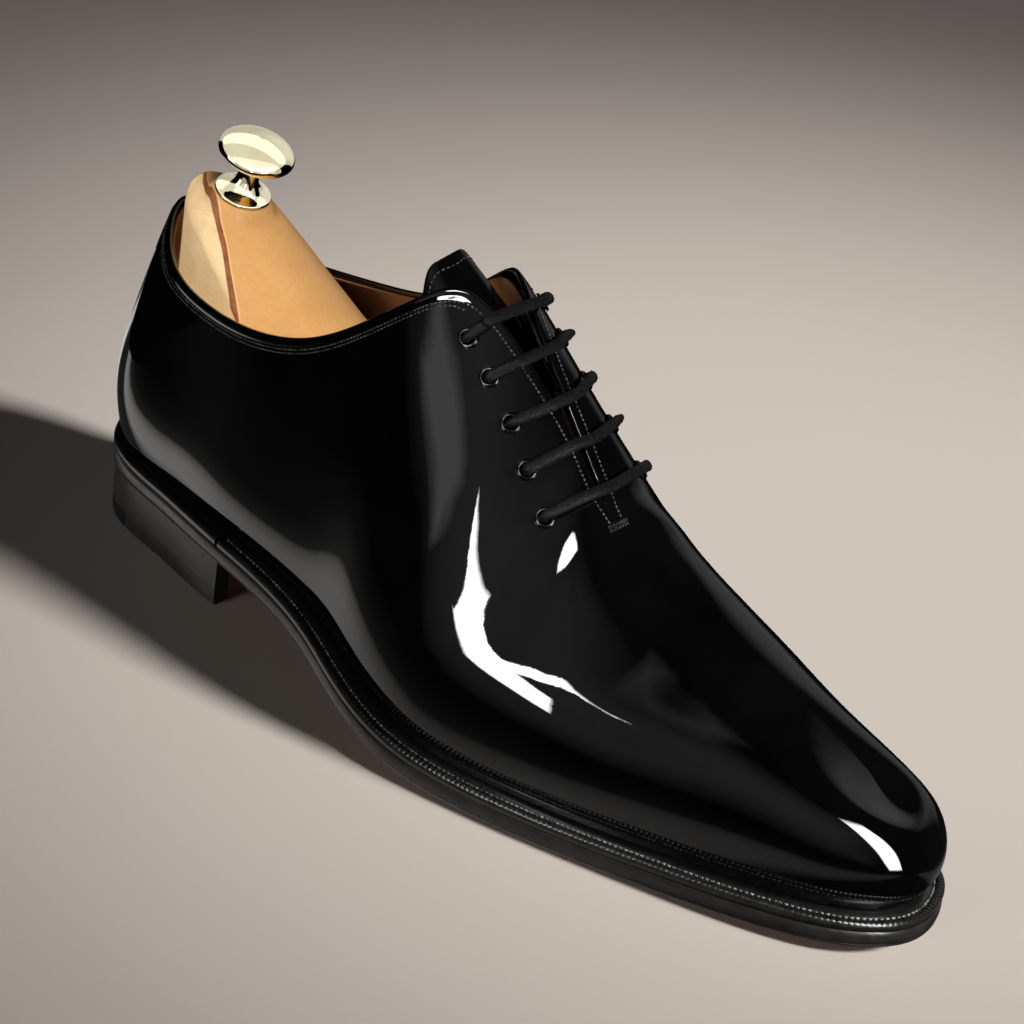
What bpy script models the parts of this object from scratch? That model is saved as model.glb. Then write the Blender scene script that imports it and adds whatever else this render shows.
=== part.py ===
"""A black wholecut oxford, right foot, with its wooden shoe tree. Metres, +X to the toe, +Z up."""

from math import cos, pi, radians, sin

import bmesh
import bpy
import numpy as np
from mathutils import Matrix, Vector

MM = 0.001
CENTRE_X, CENTRE_Y = 151.85, -2.42  # middle of the shoe, moved to the origin
LENGTH = 305.0  # outsole, heel back to toe tip
EDGE = 7.5  # outsole and welt together, seen at the sole's edge
OUTSOLE_THICK = 4.7
HEEL_TOP = 15.0  # underside of the outsole above the ground at the breast
HEEL_BACK_RISE = 1.8
BALL_X = 195.0  # where the outsole touches the ground
TOE_SPRING = 4.0
BREAST_X = 73.0
UPPER_THICK = 1.3
LINING_THICK = 1.0
STIFFENER_THICK = 1.0
PLY_GAP = 0.4  # between the upper, its stiffeners and its lining
GAP = 0.3
THROAT = 11  # station where the two facings meet
CROWN_SLOPE = -0.40  # fall of the vamp's crown line, per unit to the toe
CROWN_TILT = 0.2  # rise of the vamp to the medial side at the throat
ROUND = 102  # columns round the upper: three to a station
ROWS = (0, .05, .2, .38, .56, .72, .86, .95, 1)  # height shares of the upper's rows
EYELET_ROWS = 5
EYELET_OUTER, EYELET_INNER = 2.9, 1.7
LACE_RADIUS = 1.35
TONGUE_DEPTH = 7.8
LIFTS = 4
TOP_PIECE_THICK = 5.0
HINGE = (118.0, 3.0, 62.0)  # axis of the tree's hinge, along Y
KNOB_LEAN = 16.0  # degrees that the knob leans to the toe

# Stations run from the heel centre along the lateral side to the toe tip, then back along the
# medial side. SOLE is the outsole's outline; TOP is the topline, then the facing's edge, then the
# crown line of the vamp.
SOLE = [(0, 0.5), (5, -13), (19, -24), (42, -28.5), (66, -32.7), (90, -35), (111, -38.3),
        (129, -44), (146, -49.2), (165, -51.6), (184, -49.6), (203, -45.8), (223, -40.7),
        (244, -34.5), (264, -28.2), (283, -20.8), (297, -11.5), (304.5, 3.5), (298, 21.5),
        (284, 31), (264, 37.5), (244, 41.8), (223, 45), (203, 46.6), (184, 45), (165, 40.5),
        (146, 34.5), (129, 30.5), (111, 28.8), (90, 28.8), (66, 29), (42, 28.8), (19, 25),
        (5, 14.5)]
FACING = [(10.5, 0, 96.3), (16.5, -10.5, 88.8), (31, -18.5, 83.6), (50, -24, 83.3),
          (71, -27, 85.6), (93, -27, 92.5), (112, -25, 105.3), (127, -20.5, 118),
          (139, -13.5, 121.5), (156.5, -8, 108), (173.5, -4, 90.5), (190, -4, 74.5)]
CROWN = [(208, 1, 63.8), (226, 4, 57.8), (244, 6.5, 51.8), (260, 8.5, 45.2), (271, 9.3, 40.4),
         (276, 9.5, 38)]
FAR_FACING = [(190, -1.4, 74.5), (174, -0.8, 90.5), (157, 0, 109), (139.5, 5.8, 121),
              (128, 12, 119), (113, 20, 107), (93, 26, 93), (71, 28, 85.6), (50, 24.5, 83.3),
              (31, 18.5, 83.6), (16.5, 10.5, 88.8)]
TOP = FACING + CROWN + CROWN[-2::-1] + FAR_FACING
# At some stations: how far the feather edge is set in from the sole's edge, then the profile's
# four control points: belly and cheek as (outward, share of height), slope and crown as (share of
# the way to the top edge, share of height).
LATERAL = {
    0: (2.2, 3.0, .16, 4.2, .38, -.05, .64, .45, .84), 2: (2.5, 2.8, .16, 3.5, .38, .10, .66, .55, .86),
    4: (4.5, 2.2, .15, 1.0, .34, .34, .64, .70, .84), 6: (5.5, 2.4, .14, 0.0, .32, .38, .60, .76, .85),
    8: (6.0, 2.5, .14, -1., .33, .38, .56, .76, .84), 10: (6.0, 2.8, .18, -1., .38, .38, .60, .74, .86),
    12: (6.2, 3.0, .24, 0.0, .48, .33, .72, .68, .94), 14: (6.5, 3.0, .28, 1.0, .58, .26, .84, .60, .99),
    16: (6.3, 5.6, .30, 3.9, .66, .14, .93, .50, 1.0), 17: (6.3, 7.0, .30, 5.3, .66, .11, .93, .50, 1.0)}
MEDIAL = {
    18: (6.4, 5.2, .30, 4.1, .64, .17, .88, .52, 1.0), 20: (6.5, 2.0, .27, -.5, .54, .32, .77, .62, .99),
    22: (6.0, 1.5, .22, -1.5, .46, .30, .76, .58, 1.0), 24: (6.0, 1.5, .17, -1.9, .36, .32, .68, .58, .95),
    26: (6.0, 1.5, .14, -2., .32, .38, .59, .62, .94), 28: (5.5, 2.0, .14, -.5, .32, .38, .60, .74, .87),
    30: (4.5, 2.2, .15, 1.0, .34, .34, .64, .70, .84), 32: (2.5, 2.8, .16, 3.5, .38, .10, .66, .55, .86)}
STATIONS = len(SOLE)
HALF = STATIONS // 2


def clear_scene():
    for obj in list(bpy.data.objects):
        bpy.data.objects.remove(obj, do_unlink=True)


def material(name, colour, roughness, metallic=0.0, coat=0.0):
    made = bpy.data.materials.new(name)
    made.use_nodes = True
    shader = made.node_tree.nodes["Principled BSDF"]
    shader.inputs["Base Color"].default_value = (*colour, 1.0)
    shader.inputs["Roughness"].default_value = roughness
    shader.inputs["Metallic"].default_value = metallic
    shader.inputs["Coat Weight"].default_value = coat
    made.diffuse_color = (*colour, 1.0)
    return made


def node(name, points, faces, look):
    """An object from points in millimetres."""
    mesh = bpy.data.meshes.new(name)
    mesh.from_pydata([tuple(float(v) * MM for v in point) for point in points], [], faces)
    builder = bmesh.new()
    builder.from_mesh(mesh)
    bmesh.ops.remove_doubles(builder, verts=builder.verts, dist=2e-6)
    bmesh.ops.recalc_face_normals(builder, faces=builder.faces)
    bmesh.ops.triangulate(builder, faces=builder.faces)
    builder.to_mesh(mesh)
    builder.free()
    mesh.materials.append(look)
    obj = bpy.data.objects.new(name, mesh)
    bpy.context.scene.collection.objects.link(obj)
    return obj


def smooth(x, low, high):
    x = np.clip((np.asarray(x, float) - low) / (high - low), 0, 1)
    return x * x * (3 - 2 * x)


def round_spline(rows, at):
    """Closed cubic spline through the rows; at counts rows."""
    rows = np.asarray(rows, float)
    count = len(rows)
    turn = np.eye(count)
    weights = (4 * turn + np.roll(turn, 1, 0) + np.roll(turn, -1, 0)) / 6
    control = np.linalg.solve(weights, rows)
    at = np.asarray(at, float) % count
    first = np.floor(at).astype(int)
    f = (at - first)[:, None]
    shares = ((1 - f) ** 3 / 6, (3 * f**3 - 6 * f**2 + 4) / 6,
              (-3 * f**3 + 3 * f**2 + 3 * f + 1) / 6, f**3 / 6)
    return sum(s * control[(first + k - 1) % count] for k, s in enumerate(shares))


def profile_shares(h):
    """Weights of six control points of a cubic B-spline that starts and ends on the outer ones."""
    knots = np.array([0, 0, 0, 0, 1, 2, 3, 3, 3, 3]) / 3
    h = np.clip(np.asarray(h, float), 0, 1 - 1e-9)[:, None]
    share = ((h >= knots[:-1]) & (h < knots[1:])).astype(float)
    for p in range(1, 4):
        a, b = knots[p:-1] - knots[:-p - 1], knots[p + 1:] - knots[1:-p]
        a, b = np.where(a > 0, a, np.inf), np.where(b > 0, b, np.inf)
        share = (h - knots[:-p - 1]) / a * share[:, :-1] + (knots[p + 1:] - h) / b * share[:, 1:]
    return share


def sole_z(x):
    """Height of the outsole's underside."""
    x = np.asarray(x, float)
    arch = HEEL_TOP * smooth(BALL_X - x, 0, BALL_X - 58)
    back = HEEL_BACK_RISE * np.clip((60 - x) / 60, 0, 1) ** 2
    toe = TOE_SPRING * np.clip((x - BALL_X - 12) / (LENGTH - BALL_X - 12), 0, 1) ** 1.7
    return 0.3 + arch + back + toe


def outline(inset=0.0, count=ROUND):
    """The outsole's outline moved in, and the outward direction at each point."""
    line = round_spline(SOLE, np.arange(count) * STATIONS / count)
    along = np.roll(line, -1, 0) - np.roll(line, 1, 0)
    out = np.stack([along[:, 1], -along[:, 0]], -1)
    out /= np.linalg.norm(out, axis=1)[:, None]
    return line - out * inset, out


def all_profiles():
    given = {**LATERAL, **MEDIAL, STATIONS: LATERAL[0]}
    rows = np.array(list(given.values()))
    return np.column_stack([np.interp(range(STATIONS), list(given), rows[:, k])
                            for k in range(rows.shape[1])])


PROFILES = all_profiles()


def upper_surface(t, h):
    """Points of the upper's outer face, station by height share. A whole number of columns
    to the half, so that both sides can share the crown line of the vamp."""
    sole = round_spline(SOLE, t)
    ahead, behind = round_spline(SOLE, t + 0.02), round_spline(SOLE, t - 0.02)
    along = ahead - behind
    out = np.stack([along[:, 1], -along[:, 0]], -1)
    out /= np.linalg.norm(out, axis=1)[:, None]
    side = round_spline(PROFILES, t)
    top = round_spline(TOP, t)
    other = round_spline(TOP, STATIONS - t)
    share = smooth(np.minimum(t % STATIONS, (-t) % STATIONS), THROAT - 0.6, THROAT)[:, None]
    top = top * (1 - share) + (top + other) / 2 * share
    feather = sole - out * side[:, :1]
    base = sole_z(feather[:, 0]) + EDGE + GAP
    rise = top[:, 2] - base
    inward = top[:, :2] - feather
    control = np.zeros((len(t), 6, 3))
    control[:, 0] = np.column_stack([feather, base])
    for row, (place, high) in ((1, (1, 2)), (2, (3, 4))):
        control[:, row, :2] = feather + out * side[:, place:place + 1]
        control[:, row, 2] = base + side[:, high] * rise
    for row, (place, high) in ((3, (5, 6)), (4, (7, 8))):
        control[:, row, :2] = feather + inward * side[:, place:place + 1]
        control[:, row, 2] = base + side[:, high] * rise
    control[:, 5] = top
    ahead = np.minimum(t % STATIONS, (-t) % STATIONS)
    tilt = CROWN_TILT * (1 - smooth(ahead, THROAT, THROAT + 4))
    reach = control[:, 4] - top
    level = top[:, 2] + CROWN_SLOPE * reach[:, 0] + tilt * reach[:, 1]
    control[:, 4, 2] += (level - control[:, 4, 2]) * share[:, 0]
    return np.einsum("mk,nkc->nmc", profile_shares(h), control)


def surface_normals(t, h):
    step = 0.03
    here = upper_surface(t, h)
    along = upper_surface(t + step, h) - upper_surface(t - step, h)
    up = upper_surface(t, np.clip(h + step, 0, 1)) - upper_surface(t, np.clip(h - step, 0, 1))
    across = np.cross(along, up)
    length = np.linalg.norm(across, axis=2, keepdims=True)
    if length.shape[1] > 1:
        still = length[:, -1, 0] < 0.02  # the crown line turns back on itself at the toe
        across[still, -1], length[still, -1] = across[still, -2], length[still, -2]
    return here, across / np.maximum(length, 1e-9)


def skin(name, t, h, near, far, look, closed=False):
    """A closed sheet between two depths under the upper's outer face. The depths are functions of
    station and height share. Where both sides reach the crown line, their points are shared."""
    here, normal = surface_normals(t, h)
    crown = np.minimum(t % STATIONS, (-t) % STATIONS) >= THROAT - 1e-6
    crown &= h[-1] > 0.999
    if crown.any():
        partner = -np.arange(len(t)) - (0 if closed else 1)
        mirrored = normal[partner % len(t), -1]
        shared = normal[:, -1] + mirrored
        shared /= np.linalg.norm(shared, axis=1)[:, None]
        normal[crown, -1] = shared[crown]
    tt, hh = np.meshgrid(t, h, indexing="ij")
    layers = [here - normal * np.broadcast_to(depth(tt, hh), tt.shape)[..., None]
              for depth in (near, far)]
    rows, columns = len(t), len(h)
    index = np.arange(rows * columns).reshape(rows, columns)
    step = list(range(rows if closed else rows - 1))
    faces = []
    for layer in (0, rows * columns):
        for i in step:
            k = (i + 1) % rows
            for j in range(columns - 1):
                a, b, c, d = index[i, j], index[k, j], index[k, j + 1], index[i, j + 1]
                for face in ((a, b, c), (a, c, d)):
                    faces.append([int(v) + layer for v in (face if layer else face[::-1])])
    inner = rows * columns
    for i in step:
        k = (i + 1) % rows
        a, b = int(index[i, 0]), int(index[k, 0])
        faces.append([a, b, b + inner, a + inner])
        if not (crown[i] and crown[k]):
            a, b = int(index[i, -1]), int(index[k, -1])
            faces.append([b, a, a + inner, b + inner])
    if not closed:
        for i, turn in ((0, 1), (rows - 1, -1)):
            for j in range(columns - 1):
                a, b = int(index[i, j]), int(index[i, j + 1])
                faces.append([a, b, b + inner, a + inner][::turn])
    points = np.vstack([layer.reshape(-1, 3) for layer in layers])
    return node(name, points, faces, look)


def plate(name, line, low, high, look):
    """A solid with the outline's plan, whose faces follow functions of x."""
    count = len(line)
    points = [(x, y, low(x)) for x, y in line] + [(x, y, high(x)) for x, y in line]
    faces = [[i, (i + 1) % count, (i + 1) % count + count, i + count] for i in range(count)]
    half = count // 2
    for layer in (0, count):
        for i in range(half - 1):
            a, b = i, i + 1
            c, d = (count - i - 1) % count, (count - i) % count
            quad = [a, b, c, d] if i else [a, b, c]
            quad = [v + layer for v in quad]
            faces.append(quad if layer else quad[::-1])
        tip = [half - 1, half, half + 1]
        faces.append([v + layer for v in tip])
    return node(name, points, faces, look)


def slab(name, lateral, medial, low, high, look, across=2):
    """A solid between two side lines of (x, y), both from heel to toe. Its lower and upper faces
    are functions of x and y."""
    shares = np.linspace(0, 1, across + 1)[None, :, None]
    lateral, medial = np.asarray(lateral, float), np.asarray(medial, float)
    flat = lateral[:, None] * (1 - shares) + medial[:, None] * shares
    rows, columns = flat.shape[:2]
    points = []
    for face in (low, high):
        points += [(x, y, float(face(x, y))) for x, y in flat.reshape(-1, 2)]
    index = np.arange(rows * columns).reshape(rows, columns)
    upper = rows * columns
    faces = []
    for i in range(rows - 1):
        for j in range(columns - 1):
            quad = [int(index[i, j]), int(index[i + 1, j]), int(index[i + 1, j + 1]), int(index[i, j + 1])]
            faces += [quad, [v + upper for v in quad[::-1]]]
    rim = [*index[:, 0], *index[-1, 1:], *index[-2::-1, -1], *index[0, -2:0:-1]]
    for a, b in zip(rim, rim[1:] + rim[:1]):
        faces.append([int(a), int(b), int(b) + upper, int(a) + upper])
    return node(name, points, faces, look)


def strip(name, stations, inner, outer, low, high, look, closed=False):
    """A band that follows the sole's edge between two insets."""
    sections = []
    for t in stations:
        p, out = sole_edge(t)
        a, b = p - out * inner, p - out * outer
        sections.append([(*a, sole_z(a[0]) + low), (*b, sole_z(b[0]) + low),
                         (*b, sole_z(b[0]) + high), (*a, sole_z(a[0]) + high)])
    return loft(name, sections, look, closed)


def loft(name, loops, look, closed=False):
    """Loops of equal length joined in turn; the ends are capped with flat faces."""
    size = len(loops[0])
    points = [point for loop in loops for point in loop]
    faces = []
    turns = len(loops) if closed else len(loops) - 1
    for i in range(turns):
        for j in range(size):
            a, b = i * size, (i + 1) % len(loops) * size
            k = (j + 1) % size
            faces.append([a + j, a + k, b + k, b + j])
    if not closed:
        faces += [list(range(size)), list(range((len(loops) - 1) * size, len(loops) * size))[::-1]]
    return node(name, points, faces, look)


def sole_edge(t):
    line = round_spline(SOLE, [t - 0.02, t, t + 0.02])
    along = line[2] - line[0]
    out = np.array([along[1], -along[0]])
    return line[1], out / np.linalg.norm(out)


def sole_sides(inset, start, end, count):
    """Two lines at an inset from the sole's edge, lateral then medial, over a range of x."""
    sides = []
    for stations in (np.linspace(0, HALF, 400), np.linspace(STATIONS, HALF, 400)):
        line = np.array([(lambda p, o: p - o * inset)(*sole_edge(t)) for t in stations])
        first, last = line[:, 0].argmin(), line[:, 0].argmax()
        line = line[first:last + 1]
        low, high = max(start, line[0, 0]), min(end, line[-1, 0])
        bend = (1 - np.cos(np.linspace(0, pi, count))) / 2
        at = low + (high - low) * bend
        sides.append(np.column_stack([at, np.interp(at, line[:, 0], line[:, 1])]))
    return sides


def on_sole(height):
    return lambda x, y: sole_z(x) + height


def frame_at(t, h, depth):
    """A point under the upper's outer face, and the face's outward direction there."""
    here, normal = surface_normals(np.array([t]), np.array([h]))
    return here[0, 0] - normal[0, 0] * depth, normal[0, 0]


def lathe(name, profile, centre, axis, look, steps=32):
    """Profile of (radius, along) turned about an axis; a radius of 0 closes an end."""
    turn = Vector((0, 0, 1)).rotation_difference(Vector(axis)).to_matrix()
    points, rings, faces = [], [], []
    for radius, along in profile:
        ring = []
        for k in range(1 if radius == 0 else steps):
            angle = 2 * pi * k / steps
            spot = turn @ Vector((radius * cos(angle), radius * sin(angle), along))
            ring.append(len(points))
            points.append(tuple(Vector(centre) + spot))
        rings.append(ring)
    pairs = list(zip(rings, rings[1:]))
    if profile[0][0] and profile[-1][0]:
        pairs.append((rings[-1], rings[0]))
    for a, b in pairs:
        for k in range(steps):
            m = (k + 1) % steps
            corners = [a[k % len(a)], a[m % len(a)], b[m % len(b)], b[k % len(b)]]
            faces.append(list(dict.fromkeys(corners)))
    return node(name, points, faces, look)


def cut(obj, cutter):
    modifier = obj.modifiers.new("holes", "BOOLEAN")
    modifier.operation = "DIFFERENCE"
    modifier.solver = "EXACT"
    modifier.object = cutter
    cutter.hide_render = True
    cutter.display_type = "WIRE"


EYELETS = [(8.12, .94), (8.60, .92), (9.09, .90), (9.54, .87), (10.06, .84)]
BAR_EDGES = [8.4, 8.95, 9.5, 10.0, 10.6]  # stations where each bar of lace crosses the facings


def both_sides(t):
    return ((t, "lateral"), (STATIONS - t, "medial"))


def lining_depth(t, h):
    from_heel = np.minimum(t % STATIONS, (-t) % STATIONS)
    heel = (1 - smooth(from_heel, 4.3, 5.2)) * (1 - smooth(h, .58, .72))
    toe = smooth(from_heel, 14.1, 15.0)
    stay = smooth(from_heel, 6.6, 7.3) * (1 - smooth(from_heel, 10.7, 11.3)) * smooth(h, .36, .54)
    most = np.maximum(np.maximum(heel, toe), stay)
    return UPPER_THICK + PLY_GAP + (STIFFENER_THICK + PLY_GAP) * most


def build_upper(looks, holes):
    stations = np.arange(ROUND) / 3
    upper = skin("upper_wholecut", stations, np.array(ROWS), lambda t, h: 0.0,
                 lambda t, h: UPPER_THICK, looks["patent"], closed=True)
    lining_far = lambda t, h: lining_depth(t, h) + LINING_THICK
    quarter = skin("quarter_lining", np.arange(-27, 28) / 3, np.array(ROWS[1:-1] + (.985,)),
                   lining_depth, lining_far, looks["lining"])
    vamp = skin("vamp_lining", np.arange(28, 75) / 3, np.array(ROWS[1:]), lining_depth,
                lining_far, looks["lining"])
    near = lambda t, h: UPPER_THICK + PLY_GAP
    far = lambda t, h: UPPER_THICK + PLY_GAP + STIFFENER_THICK
    skin("heel_counter", np.arange(-12, 13) / 3, np.array(ROWS[1:5]), near, far,
         looks["stiffener"])
    skin("toe_puff", np.arange(46, 57) / 3, np.array(ROWS[1:-2]), near, far, looks["stiffener"])
    for start, side in ((23, "lateral"), (71, "medial")):
        stay = skin("facing_stay_" + side, np.arange(start, start + 9) / 3, np.array(ROWS[4:-1]),
                    near, far, looks["stiffener"])
        cut(stay, holes)
    for obj in (upper, quarter, vamp):
        cut(obj, holes)
    skin("back_strip", np.linspace(-.36, .36, 5), np.linspace(.80, .985, 5),
         lambda t, h: -GAP - 0.8, lambda t, h: -GAP, looks["patent"])


def build_eyelets(looks):
    profile = [(1.6, .2), (1.9, .75), (2.5, .75), (2.9, .2), (2.15, .2), (2.15, -4.9), (1.6, -4.9)]
    cutters = []
    for row, (station, h) in enumerate(EYELETS):
        for t, side in both_sides(station):
            centre, axis = frame_at(t, h, -0.3)
            name = "eyelet_%s_%d" % (side, row + 1)
            lathe(name, profile, centre, axis, looks["eyelet"], steps=12)
            cutters.append((centre, axis))
    return cutters


def hole_cutter(places):
    """One guide object with a plug at each eyelet."""
    mesh = bpy.data.meshes.new("eyelet_holes")
    builder = bmesh.new()
    for centre, axis in places:
        turn = Vector((0, 0, 1)).rotation_difference(Vector(axis)).to_matrix().to_4x4()
        middle = (Vector(centre) - Vector(axis) * 2.5) * MM
        bmesh.ops.create_cone(builder, cap_ends=True, segments=12, radius1=2.45 * MM,
                              radius2=2.45 * MM, depth=9 * MM,
                              matrix=Matrix.Translation(middle) @ turn)
    builder.to_mesh(mesh)
    builder.free()
    holes = bpy.data.objects.new("eyelet_holes", mesh)
    bpy.context.scene.collection.objects.link(holes)
    return holes


def lace_route():
    """The lace's centre line: a tucked end, five bars over the facings, and a tucked end."""
    over, under = -2.6, 5.9
    inner = lambda side, t: t if side == 0 else STATIONS - t
    route = []
    side = 0
    tail_t, tail_h = EYELETS[-1]
    for share in (0.34, 0.17):
        route.append(frame_at(tail_t + share, tail_h - share * .04, under)[0])
    for row in range(EYELET_ROWS - 1, -1, -1):
        t, h = EYELETS[row]
        edge = BAR_EDGES[row]
        for depth in (under, 3.2, .4, over):
            route.append(frame_at(inner(side, t), h, depth)[0])
        for share in (.3, .65, .95):
            route.append(frame_at(inner(side, t + (edge - t) * share), h + (1 - h) * share, over)[0])
        side = 1 - side
        for share in (.95, .65, .3):
            route.append(frame_at(inner(side, t + (edge - t) * share), h + (1 - h) * share, over)[0])
        for depth in (over, .4, 3.2, under):
            route.append(frame_at(inner(side, t), h, depth)[0])
        if row:
            to_t, to_h = EYELETS[row - 1]
            for share in (.33, .67):
                spot = frame_at(inner(side, t + (to_t - t) * share), h + (to_h - h) * share, under)
                route.append(spot[0])
    t, h = EYELETS[0]
    for drop in (.035, .07):
        route.append(frame_at(inner(side, t), h - drop, under + .4)[0])
    return route


def build_lace(looks):
    route = lace_route()
    curve = bpy.data.curves.new("lace", "CURVE")
    curve.dimensions = "3D"
    curve.bevel_depth = LACE_RADIUS * MM * 0.85
    curve.bevel_resolution = 1
    curve.use_fill_caps = True
    line = curve.splines.new("POLY")
    line.points.add(len(route) - 1)
    for spot, point in zip(line.points, route):
        spot.co = (*(float(v) * MM for v in point), 1.0)
    curve.materials.append(looks["lace"])
    obj = bpy.data.objects.new("lace", curve)
    bpy.context.scene.collection.objects.link(obj)
    for name, tip, before in (("aglet_lateral", route[0], route[1]),
                              ("aglet_medial", route[-1], route[-2])):
        axis = np.subtract(tip, before)
        axis = axis / np.linalg.norm(axis)
        lathe(name, [(0, .4), (1.15, .4), (1.15, 7.0), (0.7, 7.6), (0, 7.6)], tip, axis,
              looks["eyelet"], steps=10)


def tongue_line(t, extra):
    """The tongue's section at a station, from the lateral side over to the medial side."""
    rows = (.66, .77, .86, .93)
    sides = [[frame_at(at, h, TONGUE_DEPTH + extra) for h in rows] for at in (t, STATIONS - t)]
    (near, near_up), (far, far_up) = sides[0][-1], sides[1][-1]
    up = (near_up + far_up) / np.linalg.norm(near_up + far_up)
    crest = (near + far) / 2 + up * 0.12 * np.linalg.norm(far - near)
    return [p for p, _ in sides[0]] + [crest] + [p for p, _ in sides[1][::-1]]


def build_tongue(looks):
    for name, extra, thick, look in (("tongue", 0.0, 1.5, "patent"),
                                     ("tongue_lining", 2.1, 0.8, "lining")):
        loops = []
        for t in (8.35, 8.7, 9.1, 9.5, 10.0, 10.5, 11.0):
            top = tongue_line(t, extra)
            low = tongue_line(t, extra + thick)
            loops.append(top + low[::-1])
        first = np.array(loops[0])
        rise = first.mean(axis=0) - np.array(loops[1]).mean(axis=0)
        rise /= np.linalg.norm(rise)
        middle = first.mean(axis=0)
        ends = []
        for reach, width in ((19, .80), (13, .92), (6, .98)):
            grown = first + rise * reach
            grown[:, 1] = (grown[:, 1] - middle[1]) * width + middle[1]
            ends.append(grown.tolist())
        loft(name, ends + loops, looks[look])


def build_bar_tack(looks):
    ends = [frame_at(t, 1.0, 0) for t in (11.05, STATIONS - 11.05)]
    normal = ends[0][1] + ends[1][1]
    normal /= np.linalg.norm(normal)
    centre = (ends[0][0] + ends[1][0]) / 2 + normal * 2.8
    across = np.cross(normal, (1.0, 0.1, -1.0))
    across /= np.linalg.norm(across)
    loops = []
    for k in (-2.4, 2.4):
        middle = centre + across * k
        along = np.cross(across, normal)
        loops.append([middle + along * a + normal * b
                      for a, b in ((-1, -.3), (1, -.3), (1, .4), (-1, .4))])
    loft("bar_tack", loops, looks["thread"])


def build_bottom(looks):
    slab("outsole", *sole_sides(0, 0, 400, 34), on_sole(0), on_sole(OUTSOLE_THICK), looks["sole"])
    strip("welt", np.linspace(4.3, 29.7, 60), 9.5, 0, OUTSOLE_THICK + GAP, EDGE, looks["edge"])
    strip("heel_rand", np.linspace(-4.25, 4.25, 31), 8.0, 0, OUTSOLE_THICK + GAP, EDGE,
          looks["edge"])
    slab("cork_filler", *sole_sides(10.5, 150, 400, 16), on_sole(OUTSOLE_THICK + GAP),
         on_sole(EDGE - 0.1), looks["cork"])
    slab("shank", [(x, -6) for x in range(38, 149, 10)], [(x, 6) for x in range(38, 149, 10)],
         on_sole(OUTSOLE_THICK + GAP), on_sole(OUTSOLE_THICK + GAP + 1.5), looks["steel"])
    slab("insole", *sole_sides(11.5, 0, 400, 26), on_sole(EDGE + GAP), on_sole(10.2),
         looks["insole"])
    slab("sock_liner", *sole_sides(12.5, 0, 400, 26), on_sole(10.5), on_sole(11.3),
         looks["lining"])


def build_heel(looks):
    top = TOP_PIECE_THICK
    for k in range(LIFTS):
        inset = 0.9 - 0.2 * k
        low = lambda x, y, k=k: top + GAP + (sole_z(x) - GAP - top) * k / LIFTS
        high = lambda x, y, k=k: top + (sole_z(x) - GAP - top) * (k + 1) / LIFTS
        slab("heel_lift_%d" % (k + 1), *sole_sides(inset, 0, BREAST_X, 16), low, high,
             looks["heel"])
    slab("heel_top_piece", *sole_sides(1.1, 24.3, BREAST_X, 8), lambda x, y: 0,
         lambda x, y: top, looks["heel"])
    slab("heel_rubber_tip", *sole_sides(1.1, 0, 24, 12), lambda x, y: 0, lambda x, y: top,
         looks["rubber"])


def tree_top(x, y):
    """Height of the tree's domed top behind the hinge."""
    ridge = np.interp(x, [14, 19, 34, 53, 72, 95, 110, 118], [105.5, 107.5, 106.5, 97, 88, 79, 73, 70])
    return ridge - 0.03 * y * y * smooth(130 - x, 0, 25)


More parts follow.
